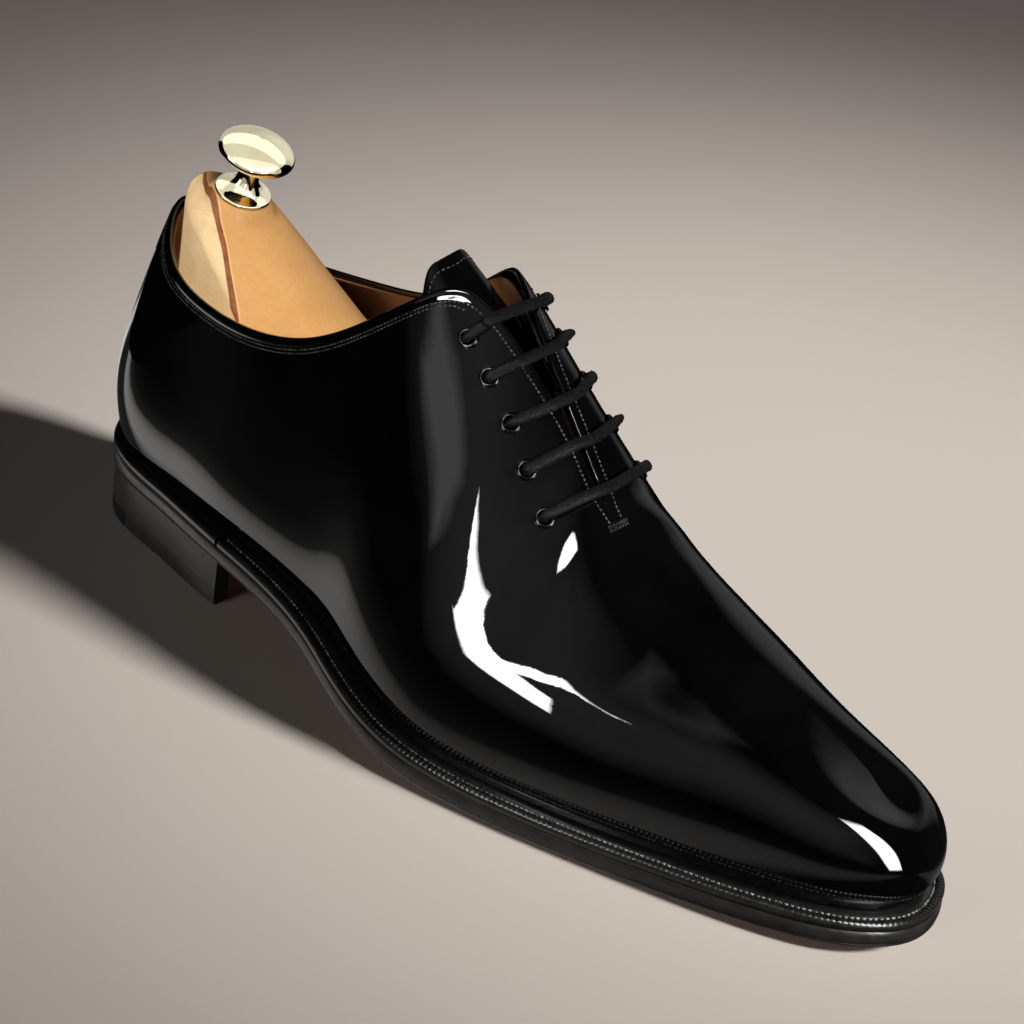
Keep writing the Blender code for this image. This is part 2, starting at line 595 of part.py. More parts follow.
def build_tree(looks):
    pivot_x, _, pivot_z = HINGE
    lateral = [(15.5, -3), (19, -7.5), (26, -11.5), (34, -14.5), (44, -17), (56, -19.5), (70, -21.5),
               (84, -21.5), (98, -20), (110, -18), (118, -16.5), (118.4, -16.4), (122, -15.5),
               (124.5, -14.5), (126, -14)]
    medial = [(x, min(-y, 17.5)) for x, y in lateral]

    def rounded(x):
        return float(np.sqrt(max(8.2 ** 2 - (x - pivot_x) ** 2, 0.5)))

    def high(x, y):
        return tree_top(x, y) if x <= pivot_x else pivot_z + rounded(x)

    def low(x, y):
        return sole_z(x) + 11.8 if x <= pivot_x else pivot_z - rounded(x)

    heel = slab("tree_heel_block", lateral, medial, low, high, looks["wood"], across=6)

    loops = []
    shares = np.array([.06, .2, .35, .5, .65, .78, .88, .96])
    for t in np.linspace(7.0, 16.7, 18):
        sides = upper_surface(np.array([t, STATIONS - t]), shares)
        ring = np.vstack([sides[0], sides[1, ::-1]])
        middle, half = np.ptp(ring[:, 1]) / 2 + ring[:, 1].min(), np.ptp(ring[:, 1]) / 2
        low, rise = ring[:, 2].min(), np.ptp(ring[:, 2])
        drop = 13.5 + float(11.0 * (1 - smooth(t, 12.5, 15)) + 7.0 * (1 - smooth(t, 8, 11)))
        ring[:, 0] -= 7.5 * float(smooth(t, 13.5, 17))
        ring[:, 1] = middle + (ring[:, 1] - middle) * max(half - 7.5, 0.6) / half
        ring[:, 2] = low + (ring[:, 2] - low) * (rise - drop) / rise
        ring[:, 2] = np.maximum(ring[:, 2], sole_z(ring[:, 0]) + 11.9)
        loops.append(ring)
    fore = loft("tree_forepart", loops, looks["wood"])

    slot = box_cutter("tree_slot", (96, 0.3, pivot_z - 10), (148, 5.7, pivot_z + 10))
    bore = bpy.data.meshes.new("tree_bore")
    builder = bmesh.new()
    turn = Matrix.Translation([v * MM for v in HINGE]) @ Matrix.Rotation(pi / 2, 4, "X")
    bmesh.ops.create_cone(builder, cap_ends=True, segments=16, radius1=2.4 * MM, radius2=2.4 * MM,
                          depth=60 * MM, matrix=turn)
    builder.to_mesh(bore)
    builder.free()
    bore = bpy.data.objects.new("tree_bore", bore)
    bpy.context.scene.collection.objects.link(bore)
    for obj in (heel, fore):
        cut(obj, slot)
    link = []
    for k in range(17):
        angle = pi / 2 + pi * k / 16
        link.append((pivot_x + 7.5 * cos(angle), pivot_z + 7.5 * sin(angle)))
    link += [(147, pivot_z - 7.5), (147, pivot_z + 7.5)]
    plate = loft("tree_hinge_plate", [[(x, y, z) for x, z in link] for y in (1.0, 5.0)],
                 looks["steel"])
    cut(plate, bore)
    cut(heel, bore)
    lathe("tree_hinge_pin", [(0, -16), (2.0, -16), (2.0, 16), (0, 16)], HINGE, (0, 1, 0),
          looks["steel"], steps=16)

    lean = radians(KNOB_LEAN)
    axis = (sin(lean), 0, cos(lean))
    foot = (34.4, 0, tree_top(34.4, 0) + 0.9)
    screw_hole = lathe("knob_screw_hole", [(0, -30), (2.6, -30), (2.6, 5), (0, 5)], foot, axis,
                       looks["steel"], steps=16)
    cut(heel, screw_hole)
    knob = [(0, 0), (8.0, 0.0), (8.1, 0.7), (6.2, 1.8), (4.4, 3.2), (3.3, 5.4), (3.0, 8.0),
            (3.5, 10.2), (6.0, 11.8), (9.6, 12.8), (11.2, 14.4), (11.0, 16.0), (8.8, 17.8),
            (5.0, 18.9), (0, 19.3)]
    lathe("tree_knob", knob, foot, axis, looks["brass"], steps=24)
    lathe("tree_knob_screw", [(0, -27), (2.1, -26), (2.1, -0.4), (0, -0.4)], foot, axis,
          looks["steel"], steps=12)
    place_origin(heel, HINGE)


def box_cutter(name, low, high):
    points = [(x, y, z) for x in (low[0], high[0]) for y in (low[1], high[1])
              for z in (low[2], high[2])]
    faces = [(0, 1, 3, 2), (4, 6, 7, 5), (0, 4, 5, 1), (2, 3, 7, 6), (0, 2, 6, 4), (1, 5, 7, 3)]
    return node(name, points, faces, bpy.data.materials[0])


def place_origin(obj, spot):
    move = Vector([v * MM for v in spot])
    obj.data.transform(Matrix.Translation(-move))
    obj.location = move


def build_looks():
    return {
        "patent": material("black_patent", (0.01, 0.01, 0.011), 0.06, coat=1.0),
        "lining": material("tan_lining", (0.32, 0.17, 0.08), 0.6),
        "stiffener": material("stiffener_board", (0.55, 0.44, 0.30), 0.8),
        "eyelet": material("dark_metal", (0.05, 0.05, 0.055), 0.35, metallic=0.8),
        "lace": material("waxed_cotton", (0.012, 0.012, 0.013), 0.6),
        "thread": material("black_thread", (0.01, 0.01, 0.01), 0.5),
        "edge": material("welt_leather", (0.02, 0.018, 0.017), 0.4),
        "sole": material("sole_leather", (0.05, 0.035, 0.03), 0.45),
        "heel": material("heel_leather", (0.03, 0.022, 0.02), 0.45),
        "rubber": material("black_rubber", (0.015, 0.015, 0.015), 0.8),
        "insole": material("insole_leather", (0.50, 0.34, 0.20), 0.7),
        "cork": material("cork", (0.45, 0.30, 0.17), 0.9),
        "steel": material("spring_steel", (0.5, 0.5, 0.52), 0.3, metallic=1.0),
        "wood": material("limewood", (0.72, 0.50, 0.29), 0.5),
        "brass": material("polished_brass", (0.85, 0.72, 0.42), 0.12, metallic=1.0),
    }


def build_all():
    clear_scene()
    looks = build_looks()
    holes = hole_cutter(build_eyelets(looks))
    build_upper(looks, holes)
    build_tongue(looks)
    build_lace(looks)
    build_bar_tack(looks)
    build_bottom(looks)
    build_heel(looks)
    build_tree(looks)
    for obj in bpy.data.objects:
        obj.location.x -= CENTRE_X * MM
        obj.location.y -= CENTRE_Y * MM


build_all()
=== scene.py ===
"""The looks of a black patent wholecut oxford with its wooden shoe tree, built round its CAD frame."""

from math import cos, pi, radians, sin, tan

import bmesh
import bpy
import numpy as np
from mathutils import Matrix, Vector


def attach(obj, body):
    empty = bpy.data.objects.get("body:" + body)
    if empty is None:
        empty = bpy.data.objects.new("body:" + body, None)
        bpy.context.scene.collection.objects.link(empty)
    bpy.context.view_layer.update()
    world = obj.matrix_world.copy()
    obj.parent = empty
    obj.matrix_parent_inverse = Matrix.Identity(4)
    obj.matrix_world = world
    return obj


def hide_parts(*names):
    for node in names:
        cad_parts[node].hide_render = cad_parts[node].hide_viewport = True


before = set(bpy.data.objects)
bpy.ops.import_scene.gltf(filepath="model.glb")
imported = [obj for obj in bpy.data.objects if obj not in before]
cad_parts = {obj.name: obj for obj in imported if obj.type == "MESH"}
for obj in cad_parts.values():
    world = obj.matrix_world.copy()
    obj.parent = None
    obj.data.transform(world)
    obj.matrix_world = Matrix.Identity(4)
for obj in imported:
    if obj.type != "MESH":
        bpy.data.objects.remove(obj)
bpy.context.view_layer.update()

MM = 0.001
CENTRE_X, CENTRE_Y = 151.85, -2.42  # middle of the shoe, moved to the origin
LENGTH = 305.0  # outsole, heel back to toe tip
EDGE = 7.5  # outsole and welt together, seen at the sole's edge
OUTSOLE_THICK = 4.7
HEEL_TOP = 15.0  # underside of the outsole above the ground at the breast
HEEL_BACK_RISE = 1.8
BALL_X = 195.0  # where the outsole touches the ground
TOE_SPRING = 4.0
BREAST_X = 73.0
UPPER_THICK = 1.3
LINING_THICK = 1.0
STIFFENER_THICK = 1.0
PLY_GAP = 0.4  # between the upper, its stiffeners and its lining
GAP = 0.3
THROAT = 11  # station where the two facings meet
CROWN_SLOPE = -0.40  # fall of the vamp's crown line, per unit to the toe
CROWN_TILT = 0.2  # rise of the vamp to the medial side at the throat
EYELET_HOLE = 2.45  # radius of the holes through the plies
TONGUE_DEPTH = 7.8
TONGUE_COLUMNS = 49  # points across the tongue
LIFTS = 4
TOP_PIECE_THICK = 5.0
HINGE = (118.0, 3.0, 62.0)  # axis of the tree's hinge, along Y
KNOB_LEAN = 16.0  # degrees that the knob leans to the toe

# Stations run from the heel centre along the lateral side to the toe tip, then back along the
# medial side. SOLE is the outsole's outline; TOP is the topline, then the facing's edge, then the
# crown line of the vamp. Much of these tables and of EYELETS came from fits to the photographed outlines,
# rounded and partly changed.
SOLE = [(0, 0.5), (5, -13), (19, -24), (42, -28.5), (66, -32.7), (90, -35), (111, -38.3),
        (129, -44), (146, -49.2), (165, -51.6), (184, -49.6), (203, -45.8), (223, -40.7),
        (244, -34.5), (264, -28.2), (283, -20.8), (297, -11.5), (304.5, 3.5), (298, 21.5),
        (284, 31), (264, 37.5), (244, 41.8), (223, 45), (203, 46.6), (184, 45), (165, 40.5),
        (146, 34.5), (129, 30.5), (111, 28.8), (90, 28.8), (66, 29), (42, 28.8), (19, 25),
        (5, 14.5)]
FACING = [(10.5, 0, 96.3), (16.5, -10.5, 88.8), (31, -18.5, 83.6), (50, -24, 83.3),
          (71, -27, 85.6), (93, -27, 92.5), (112, -25, 105.3), (127, -20.5, 118),
          (139, -13.5, 121.5), (156.5, -8, 108), (173.5, -4, 90.5), (190, -4, 74.5)]
CROWN = [(208, 1, 63.8), (226, 4, 57.8), (244, 6.5, 51.8), (260, 8.5, 45.2), (271, 9.3, 40.4),
         (276, 9.5, 38)]
FAR_FACING = [(190, -1.4, 74.5), (174, -0.8, 90.5), (157, 0, 109), (139.5, 5.8, 121),
              (128, 12, 119), (113, 20, 107), (93, 26, 93), (71, 28, 85.6), (50, 24.5, 83.3),
              (31, 18.5, 83.6), (16.5, 10.5, 88.8)]
TOP = FACING + CROWN + CROWN[-2::-1] + FAR_FACING
# At some stations: how far the feather edge is set in from the sole's edge, then the profile's
# four control points: belly and cheek as (outward, share of height), slope and crown as (share of
# the way to the top edge, share of height).
LATERAL = {
    0: (2.2, 3.0, .16, 4.2, .38, -.05, .64, .45, .84), 2: (2.5, 2.8, .16, 3.5, .38, .10, .66, .55, .86),
    4: (4.5, 2.2, .15, 1.0, .34, .34, .64, .70, .84), 6: (5.5, 2.4, .14, 0.0, .32, .38, .60, .76, .85),
    8: (6.0, 2.5, .14, -1., .33, .38, .56, .76, .84), 10: (6.0, 2.8, .18, -1., .38, .38, .60, .74, .86),
    12: (6.2, 3.0, .24, 0.0, .48, .33, .72, .68, .94), 14: (6.5, 3.0, .28, 1.0, .58, .26, .84, .60, .99),
    16: (6.3, 5.6, .30, 3.9, .66, .14, .93, .50, 1.0), 17: (6.3, 7.0, .30, 5.3, .66, .11, .93, .50, 1.0)}
MEDIAL = {
    18: (6.4, 5.2, .30, 4.1, .64, .17, .88, .52, 1.0), 20: (6.5, 2.0, .27, -.5, .54, .32, .77, .62, .99),
    22: (6.0, 1.5, .22, -1.5, .46, .30, .76, .58, 1.0), 24: (6.0, 1.5, .17, -1.9, .36, .32, .68, .58, .95),
    26: (6.0, 1.5, .14, -2., .32, .38, .59, .62, .94), 28: (5.5, 2.0, .14, -.5, .32, .38, .60, .74, .87),
    30: (4.5, 2.2, .15, 1.0, .34, .34, .64, .70, .84), 32: (2.5, 2.8, .16, 3.5, .38, .10, .66, .55, .86)}
STATIONS = len(SOLE)
HALF = STATIONS // 2
EYELETS = [(8.12, .94), (8.60, .92), (9.09, .90), (9.54, .87), (10.06, .84)]
BAR_EDGES = [8.4, 8.95, 9.5, 10.0, 10.6]  # stations where each bar of lace crosses the facings
TONGUE_REACH = 28.0  # the tongue's free end beyond the first eyelets
LACE_WIDE, LACE_HIGH = 3.1, 2.1
LACE_STEP = 0.28  # between the rings of the lace
WHEEL_PITCH, WHEEL_DEEP = 1.55, 0.16  # ridges pressed into the welt
KNOB_X = 34.4
KNUCKLE_RADIUS = 8.2  # the heel block's round end at the hinge
HEEL_HOLLOW = 2.0  # how far the heel's front face curves in

CAMERA_AZIMUTH, CAMERA_ELEVATION, CAMERA_ROLL = 40.34, 28.1, 8.5
CAMERA_DISTANCE, CAMERA_LENS = 1.0125, 125.5
CAMERA_TARGET = (-0.0226, 0.0288, 0.040)
SHOE_MIDDLE = (0.0, 0.0, 0.06)
# A glowing sheet beside and under the shoe, a painted reflection of lit floor that the patent mirrors: its
# size, and its tones along and across.
NEAR_FLOOR_GLOW = (0.60, 0.40)
NEAR_ALONG = ((0.0, (1.0, .96, .93)), (0.18, (.66, .63, .61)), (0.35, (.40, .38, .37)),
              (0.6, (.30, .29, .28)), (1.0, (.16, .15, .15)))
# Across: dark right under the sole as painted contact shadow, bright just beyond it.
NEAR_ACROSS = ((0.0, 0.03), (0.17, 0.05), (0.23, 1.0), (0.31, 1.0), (0.39, 0.55), (0.43, 0.10),
               (0.60, 0.03), (1.0, 0.0))
# The floor's colour carries a painted pool of light, bright round its centre and darker outward.
PAINTED_POOL_CENTRE = (0.04, 0.16, 0.0)  # brightest place of the floor's painted pool of light
PAINTED_POOL_EDGES = (0.08, 0.56)  # metres from there between which the floor's painted light fades
FLOOR_PAINTED_POOL, FLOOR_PAINTED_FALLOFF = (.68, .615, .56), (.10, .09, .085)
WORLD = (0.100, 0.090, 0.085, 1.0)
KNOB = (-.115, .002, .118)
# name, point it faces, azimuth and elevation from there, metres away, size in metres, radiance,
# roll, share that fades. The first five were placed by a fit to the photographed reflections.
CARDS = (
    ("streak_light_low", (.028, 0, .088), 0, 0, .15, (.031, .030), 20, 2, .2),
    ("streak_light_high", (.033, 0, .122), 0, 0, .151, (.064, .009), 20, 57, .2),
    ("strip_light", (-.019, 0, .125), 0, 0, .15, (.086, .026), .62, 35, .5),
    ("throat_light", (-.011, -.046, .059), 20, 60, .15, (.080, .018), 20, 37, .2),
    ("toe_light", (.144, -.003, .015), 60, 40, .10, (.043, .160), 20, 16, .2),
    ("ceiling_strip", SHOE_MIDDLE, -10, 62, 2.0, (.34, 1.3), .22, 0, .8),
    ("room_light", SHOE_MIDDLE, 12, 30, 3.0, (6.5, 5.0), .16, 0, .7),
    ("back_panel", SHOE_MIDDLE, -165, 22, 2.0, (2.1, 1.9), .25, 0, .5),
)
# name, point it faces, azimuth and elevation from there, metres away, size in metres, radiance, roll
KNOB_LIGHTS = (
    ("knob_ceiling", KNOB, 30, 80, .8, (3.0, 2.8), .85, 0),
    ("knob_side", KNOB, 100, 20, .8, (.9, .9), .62, 0),
    ("knob_front", KNOB, -20, 12, .8, (.35, .5), 1.3, 0),
    ("knob_room", KNOB, 40, 5, .9, (2.6, 1.2), .42, 0),
    ("knob_sky", KNOB, 60, 35, 1.3, (3.2, 2.6), .40, 0),
    ("knob_back", KNOB, 215, 28, .8, (2.0, 1.3), .6, 0),
)
# name, azimuth, elevation, strength, spread in degrees, colour
SUNS = (
    ("key_sun", 110, 34, 5.2, 10, (1.0, .985, .96)),
    ("fill_sun", -5, 5, 1.6, 30, (1.0, .97, .92)),
)
WOOD_SUNS = (
    ("wood_sun", 70, 55, 3.3, 25, (1.0, .985, .94)),
    ("wood_side_sun", -30, 12, 2.4, 40, (1.0, .98, .92)),
)


def smooth(x, low, high):
    x = np.clip((np.asarray(x, float) - low) / (high - low), 0, 1)
    return x * x * (3 - 2 * x)


def round_spline(rows, at):
    """Closed cubic spline through the rows; at counts rows."""
    rows = np.asarray(rows, float)
    count = len(rows)
    turn = np.eye(count)
    weights = (4 * turn + np.roll(turn, 1, 0) + np.roll(turn, -1, 0)) / 6
    control = np.linalg.solve(weights, rows)
    at = np.asarray(at, float) % count
    first = np.floor(at).astype(int)
    f = (at - first)[:, None]
    shares = ((1 - f) ** 3 / 6, (3 * f**3 - 6 * f**2 + 4) / 6,
              (-3 * f**3 + 3 * f**2 + 3 * f + 1) / 6, f**3 / 6)
    return sum(s * control[(first + k - 1) % count] for k, s in enumerate(shares))


def profile_shares(h):
    """Weights of six control points of a cubic B-spline that starts and ends on the outer ones."""
    knots = np.array([0, 0, 0, 0, 1, 2, 3, 3, 3, 3]) / 3
    h = np.clip(np.asarray(h, float), 0, 1 - 1e-9)[:, None]
    share = ((h >= knots[:-1]) & (h < knots[1:])).astype(float)
    for p in range(1, 4):
        a, b = knots[p:-1] - knots[:-p - 1], knots[p + 1:] - knots[1:-p]
        a, b = np.where(a > 0, a, np.inf), np.where(b > 0, b, np.inf)
        share = (h - knots[:-p - 1]) / a * share[:, :-1] + (knots[p + 1:] - h) / b * share[:, 1:]
    return share


def sole_z(x):
    """Height of the outsole's underside."""
    x = np.asarray(x, float)
    arch = HEEL_TOP * smooth(BALL_X - x, 0, BALL_X - 58)
    back = HEEL_BACK_RISE * np.clip((60 - x) / 60, 0, 1) ** 2
    toe = TOE_SPRING * np.clip((x - BALL_X - 12) / (LENGTH - BALL_X - 12), 0, 1) ** 1.7
    return 0.3 + arch + back + toe


def all_profiles():
    given = {**LATERAL, **MEDIAL, STATIONS: LATERAL[0]}
    rows = np.array(list(given.values()))
    return np.column_stack([np.interp(range(STATIONS), list(given), rows[:, k])
                            for k in range(rows.shape[1])])


PROFILES = all_profiles()


def control_points(t):
    """The upper's six rows of control points at each station. Both sides share the vamp's crown line."""
    sole = round_spline(SOLE, t)
    along = round_spline(SOLE, t + 0.02) - round_spline(SOLE, t - 0.02)
    out = np.stack([along[:, 1], -along[:, 0]], -1)
    out /= np.linalg.norm(out, axis=1)[:, None]
    side = round_spline(PROFILES, t)
    top = round_spline(TOP, t)
    other = round_spline(TOP, STATIONS - t)
    ahead = from_heel(t)
    share = smooth(ahead, THROAT - 0.6, THROAT)[:, None]
    top = top * (1 - share) + (top + other) / 2 * share
    feather = sole - out * side[:, :1]
    base = sole_z(feather[:, 0]) + EDGE + GAP
    rise = top[:, 2] - base
    inward = top[:, :2] - feather
    control = np.zeros((len(t), 6, 3))
    control[:, 0] = np.column_stack([feather, base])
    for row, (place, high) in ((1, (1, 2)), (2, (3, 4))):
        control[:, row, :2] = feather + out * side[:, place:place + 1]
        control[:, row, 2] = base + side[:, high] * rise
    for row, (place, high) in ((3, (5, 6)), (4, (7, 8))):
        control[:, row, :2] = feather + inward * side[:, place:place + 1]
        control[:, row, 2] = base + side[:, high] * rise
    control[:, 5] = top
    tilt = CROWN_TILT * (1 - smooth(ahead, THROAT, THROAT + 4))
    reach = control[:, 4] - top
    level = top[:, 2] + CROWN_SLOPE * reach[:, 0] + tilt * reach[:, 1]
    control[:, 4, 2] += (level - control[:, 4, 2]) * share[:, 0]
    return control


def from_heel(t):
    """Stations between t and the heel's centre, the shorter way round."""
    t = np.asarray(t, float)
    return np.minimum(t % STATIONS, (-t) % STATIONS)


def unit(vectors):
    return vectors / np.maximum(np.linalg.norm(vectors, axis=-1, keepdims=True), 1e-9)


def spots(t, h, depth=0.0):
    """Points under the upper's outer face, a station and a height share for each, with the face's
    outward directions and the directions along the stations."""
    t, h = (np.array(v, float) for v in np.broadcast_arrays(t, h))
    step = 0.03

    def at(tt, hh):
        return np.einsum("nk,nkc->nc", profile_shares(hh), control_points(tt))

    along = at(t + step, h) - at(t - step, h)
    up = at(t, np.clip(h + step, 0, 1)) - at(t, np.clip(h - step, 0, 1))
    out = unit(np.cross(along, up))
    return at(t, h) - out * np.asarray(depth)[..., None], out, unit(along)


def frame_at(t, h, depth):
    here, out, _ = spots(np.array([t]), np.array([h]), np.array([depth]))
    return here[0], out[0]


def surface_grid(t, h):
    step = 0.03

    def at(tt, hh):
        return np.einsum("mk,nkc->nmc", profile_shares(hh), control_points(tt))

    along = at(t + step, h) - at(t - step, h)
    up = at(t, np.clip(h + step, 0, 1)) - at(t, np.clip(h - step, 0, 1))
    across = np.cross(along, up)
    still = np.linalg.norm(across[:, -1], axis=1) < 0.02  # the crown line turns back at the toe
    across[still, -1] = across[still, -2]
    return at(t, h), unit(across)


def edge_span(t):
    """Millimetres of surface per unit of height share, just under the top edge."""
    low, high = spots(t, 0.97)[0], spots(t, 1.0)[0]
    return np.linalg.norm(high - low, axis=1) / 0.03


def curve_through(points, count):
    """A smooth line through the points."""
    points = np.asarray(points, float)
    ends = [2 * points[:1] - points[1:2], points, 2 * points[-1:] - points[-2:-1]]
    p = np.vstack(ends)
    at = np.linspace(0, len(points) - 1 - 1e-9, count)
    first = at.astype(int)
    f = (at - first)[:, None]
    a, b, c, d = (p[first + k] for k in range(4))
    return 0.5 * (2 * b + (c - a) * f + (2 * a - 5 * b + 4 * c - d) * f**2
                  + (3 * b - a - 3 * c + d) * f**3)


def even_steps(points, pitch):
    """Places along a line, as fractions of its rows, at equal distances."""
    lengths = np.linalg.norm(np.diff(points, axis=0), axis=1)
    total = np.concatenate([[0], np.cumsum(lengths)])
    count = max(2, int(total[-1] / pitch))
    return np.interp(np.linspace(0, total[-1], count), total, np.arange(len(points)))


def rows_at(values, places):
    values = np.asarray(values, float)
    if values.ndim == 1:
        return np.interp(places, np.arange(len(values)), values)
    return np.column_stack([np.interp(places, np.arange(len(values)), values[:, k])
                            for k in range(values.shape[1])])


# ---------------------------------------------------------------- building pieces


def piece(name, points, faces, look, body, stands_for=(), sharp=40, attributes=None):
    """A shown piece from points in millimetres, riding on a body and standing for CAD nodes."""
    mesh = bpy.data.meshes.new(name)
    centred = (np.asarray(points, float) - (CENTRE_X, CENTRE_Y, 0)) * MM
    mesh.from_pydata(centred.tolist(), [], faces)
    for key, values in (attributes or {}).items():
        mesh.attributes.new(key, "FLOAT", "POINT").data.foreach_set("value", values)
    builder = bmesh.new()
    builder.from_mesh(mesh)
    bmesh.ops.remove_doubles(builder, verts=builder.verts, dist=1e-6)
    loose = [v for v in builder.verts if not v.link_faces]
    bmesh.ops.delete(builder, geom=loose, context="VERTS")
    bmesh.ops.recalc_face_normals(builder, faces=builder.faces)
    builder.to_mesh(mesh)
    builder.free()
    mesh.shade_smooth()
    mesh.set_sharp_from_angle(angle=radians(sharp))
    mesh.materials.append(look)
    obj = bpy.data.objects.new(name, mesh)
    bpy.context.scene.collection.objects.link(obj)
    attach(obj, body)
    if stands_for:
        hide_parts(*stands_for)
    return obj


def loft(loops, closed=False):
    """Points and faces of loops of equal length joined in turn, with flat ends."""
    loops = np.asarray(loops, float)
    turns, size = loops.shape[:2]
    index = np.arange(turns * size).reshape(turns, size)
    first = index if closed else index[:-1]
    second = np.roll(index, -1, 0) if closed else index[1:]
    quads = np.stack([first, np.roll(first, -1, 1), np.roll(second, -1, 1), second], -1)
    faces = quads.reshape(-1, 4).tolist()
    if not closed:
        faces += [index[0].tolist(), index[-1, ::-1].tolist()]
    return loops.reshape(-1, 3), faces


def skin(name, t, h, near, far, look, body="shoe", stands_for=(), closed=False, rim=0.0):
    """A closed sheet between two depths under the upper's outer face, its top edge rounded by rim.
    Where both sides reach the crown line, their points are shared."""
    here, normal = surface_grid(t, h)
    crown = (from_heel(t) >= THROAT - 1e-6) & (h[-1] > 0.999)
    if crown.any():
        partner = -np.arange(len(t)) - (0 if closed else 1)
        shared = unit(normal[:, -1] + normal[partner % len(t), -1])
        normal[crown, -1] = shared[crown]
    tt, hh = np.meshgrid(t, h, indexing="ij")
    outer, inner = (here - normal * depth(tt, hh)[..., None] for depth in (near, far))
    over = unit(outer[:, -1] - outer[:, -2])
    middle = (outer[:, -1] + inner[:, -1]) / 2
    half = outer[:, -1] - middle
    bend = [middle + half * cos(a) + over * rim * sin(a) for a in np.linspace(0, pi, 7)[1:-1]]
    path = np.concatenate([outer, np.stack(bend, 1), inner[:, ::-1]], axis=1)
    rows, size = path.shape[:2]
    index = np.arange(rows * size).reshape(rows, size)
    faces = []
    for i in range(rows if closed else rows - 1):
        k = (i + 1) % rows
        both = crown[i] and crown[k]
        for j in range(size):
            if both and len(h) - 1 <= j < len(h) + len(bend):
                continue
            m = (j + 1) % size
            faces.append([int(index[i, j]), int(index[k, j]), int(index[k, m]), int(index[i, m])])
    if not closed:
        faces += [index[0, ::-1].tolist(), index[-1].tolist()]
    return piece(name, path.reshape(-1, 3), faces, look, body, stands_for)


def stitches(name, points, out, along, look, size, body="shoe", stands_for=()):
    """One short rounded thread at each point. size is its length, width and height."""
    rings, around = 7, 8
    lengthwise = np.linspace(-1, 1, rings)
    radius = np.sqrt(np.maximum(1 - lengthwise**4, 0.04))
    turn = np.arange(around) * 2 * pi / around
    side = unit(np.cross(out, along))
    length, width, height = size
    shape = np.stack([
        np.repeat(lengthwise * length / 2, around),
        np.outer(radius, np.cos(turn)).ravel() * width / 2,
        np.outer(radius, np.sin(turn)).ravel() * height / 2], -1)
    corners = (points[:, None] + along[:, None] * shape[None, :, :1]
               + side[:, None] * shape[None, :, 1:2] + out[:, None] * shape[None, :, 2:])
    _, pattern = loft(shape.reshape(rings, around, 3))
    faces = [[v + k * len(shape) for v in face] for k in range(len(points)) for face in pattern]
    return piece(name, corners.reshape(-1, 3), faces, look, body, stands_for, sharp=75)


def lathe(name, profile, centre, axis, look, body="shoe", stands_for=(), steps=64, sharp=40):
    """Profile of (radius, along) turned about an axis; a radius of 0 closes an end."""
    turn = np.array(Vector((0, 0, 1)).rotation_difference(Vector(axis)).to_matrix())
    points, rings, faces = [], [], []
    for radius, along in profile:
        angle = 2 * pi * np.arange(1 if radius == 0 else steps) / steps
        ring = np.column_stack([radius * np.cos(angle), radius * np.sin(angle),
                                np.full(len(angle), along)])
        rings.append(range(len(points), len(points) + len(ring)))
        points += (ring @ turn.T + np.asarray(centre, float)).tolist()
    pairs = list(zip(rings, rings[1:]))
    if profile[0][0] and profile[-1][0]:
        pairs.append((rings[-1], rings[0]))
    for a, b in pairs:
        for k in range(steps):
            m = (k + 1) % steps
            corners = [a[k % len(a)], a[m % len(a)], b[m % len(b)], b[k % len(b)]]
            faces.append(list(dict.fromkeys(corners)))
    return piece(name, points, faces, look, body, stands_for, sharp=sharp)


def cylinder(centre, axis, radius, low, high, steps=32):
    """A guide plug for cutting, from low to high along the axis through the centre."""
    mesh = bpy.data.meshes.new("guide")
    builder = bmesh.new()
    turn = Vector((0, 0, 1)).rotation_difference(Vector(axis)).to_matrix().to_4x4()
    middle = Vector(centre) - Vector((CENTRE_X, CENTRE_Y, 0)) + Vector(axis) * (low + high) / 2
    bmesh.ops.create_cone(builder, cap_ends=True, segments=steps, radius1=radius * MM,
                          radius2=radius * MM, depth=(high - low) * MM,
                          matrix=Matrix.Translation(middle * MM) @ turn)
    builder.to_mesh(mesh)
    builder.free()
    return mesh


def cut(obj, guides, sharp=40):
    """Takes the guide shapes out of a piece."""
    joined = bpy.data.meshes.new("guides")
    builder = bmesh.new()
    for guide in guides:
        builder.from_mesh(guide)
    builder.to_mesh(joined)
    builder.free()
    cutter = bpy.data.objects.new("guides", joined)
    bpy.context.scene.collection.objects.link(cutter)
    modifier = obj.modifiers.new("cut", "BOOLEAN")
    modifier.operation, modifier.solver, modifier.object = "DIFFERENCE", "EXACT", cutter
    graph = bpy.context.evaluated_depsgraph_get()
    whole = bpy.data.meshes.new_from_object(obj.evaluated_get(graph))
    obj.modifiers.remove(modifier)
    old, obj.data = obj.data, whole
    bpy.data.meshes.remove(old)
    bpy.data.objects.remove(cutter)
    whole.shade_smooth()
    whole.set_sharp_from_angle(angle=radians(sharp))


# ---------------------------------------------------------------- materials


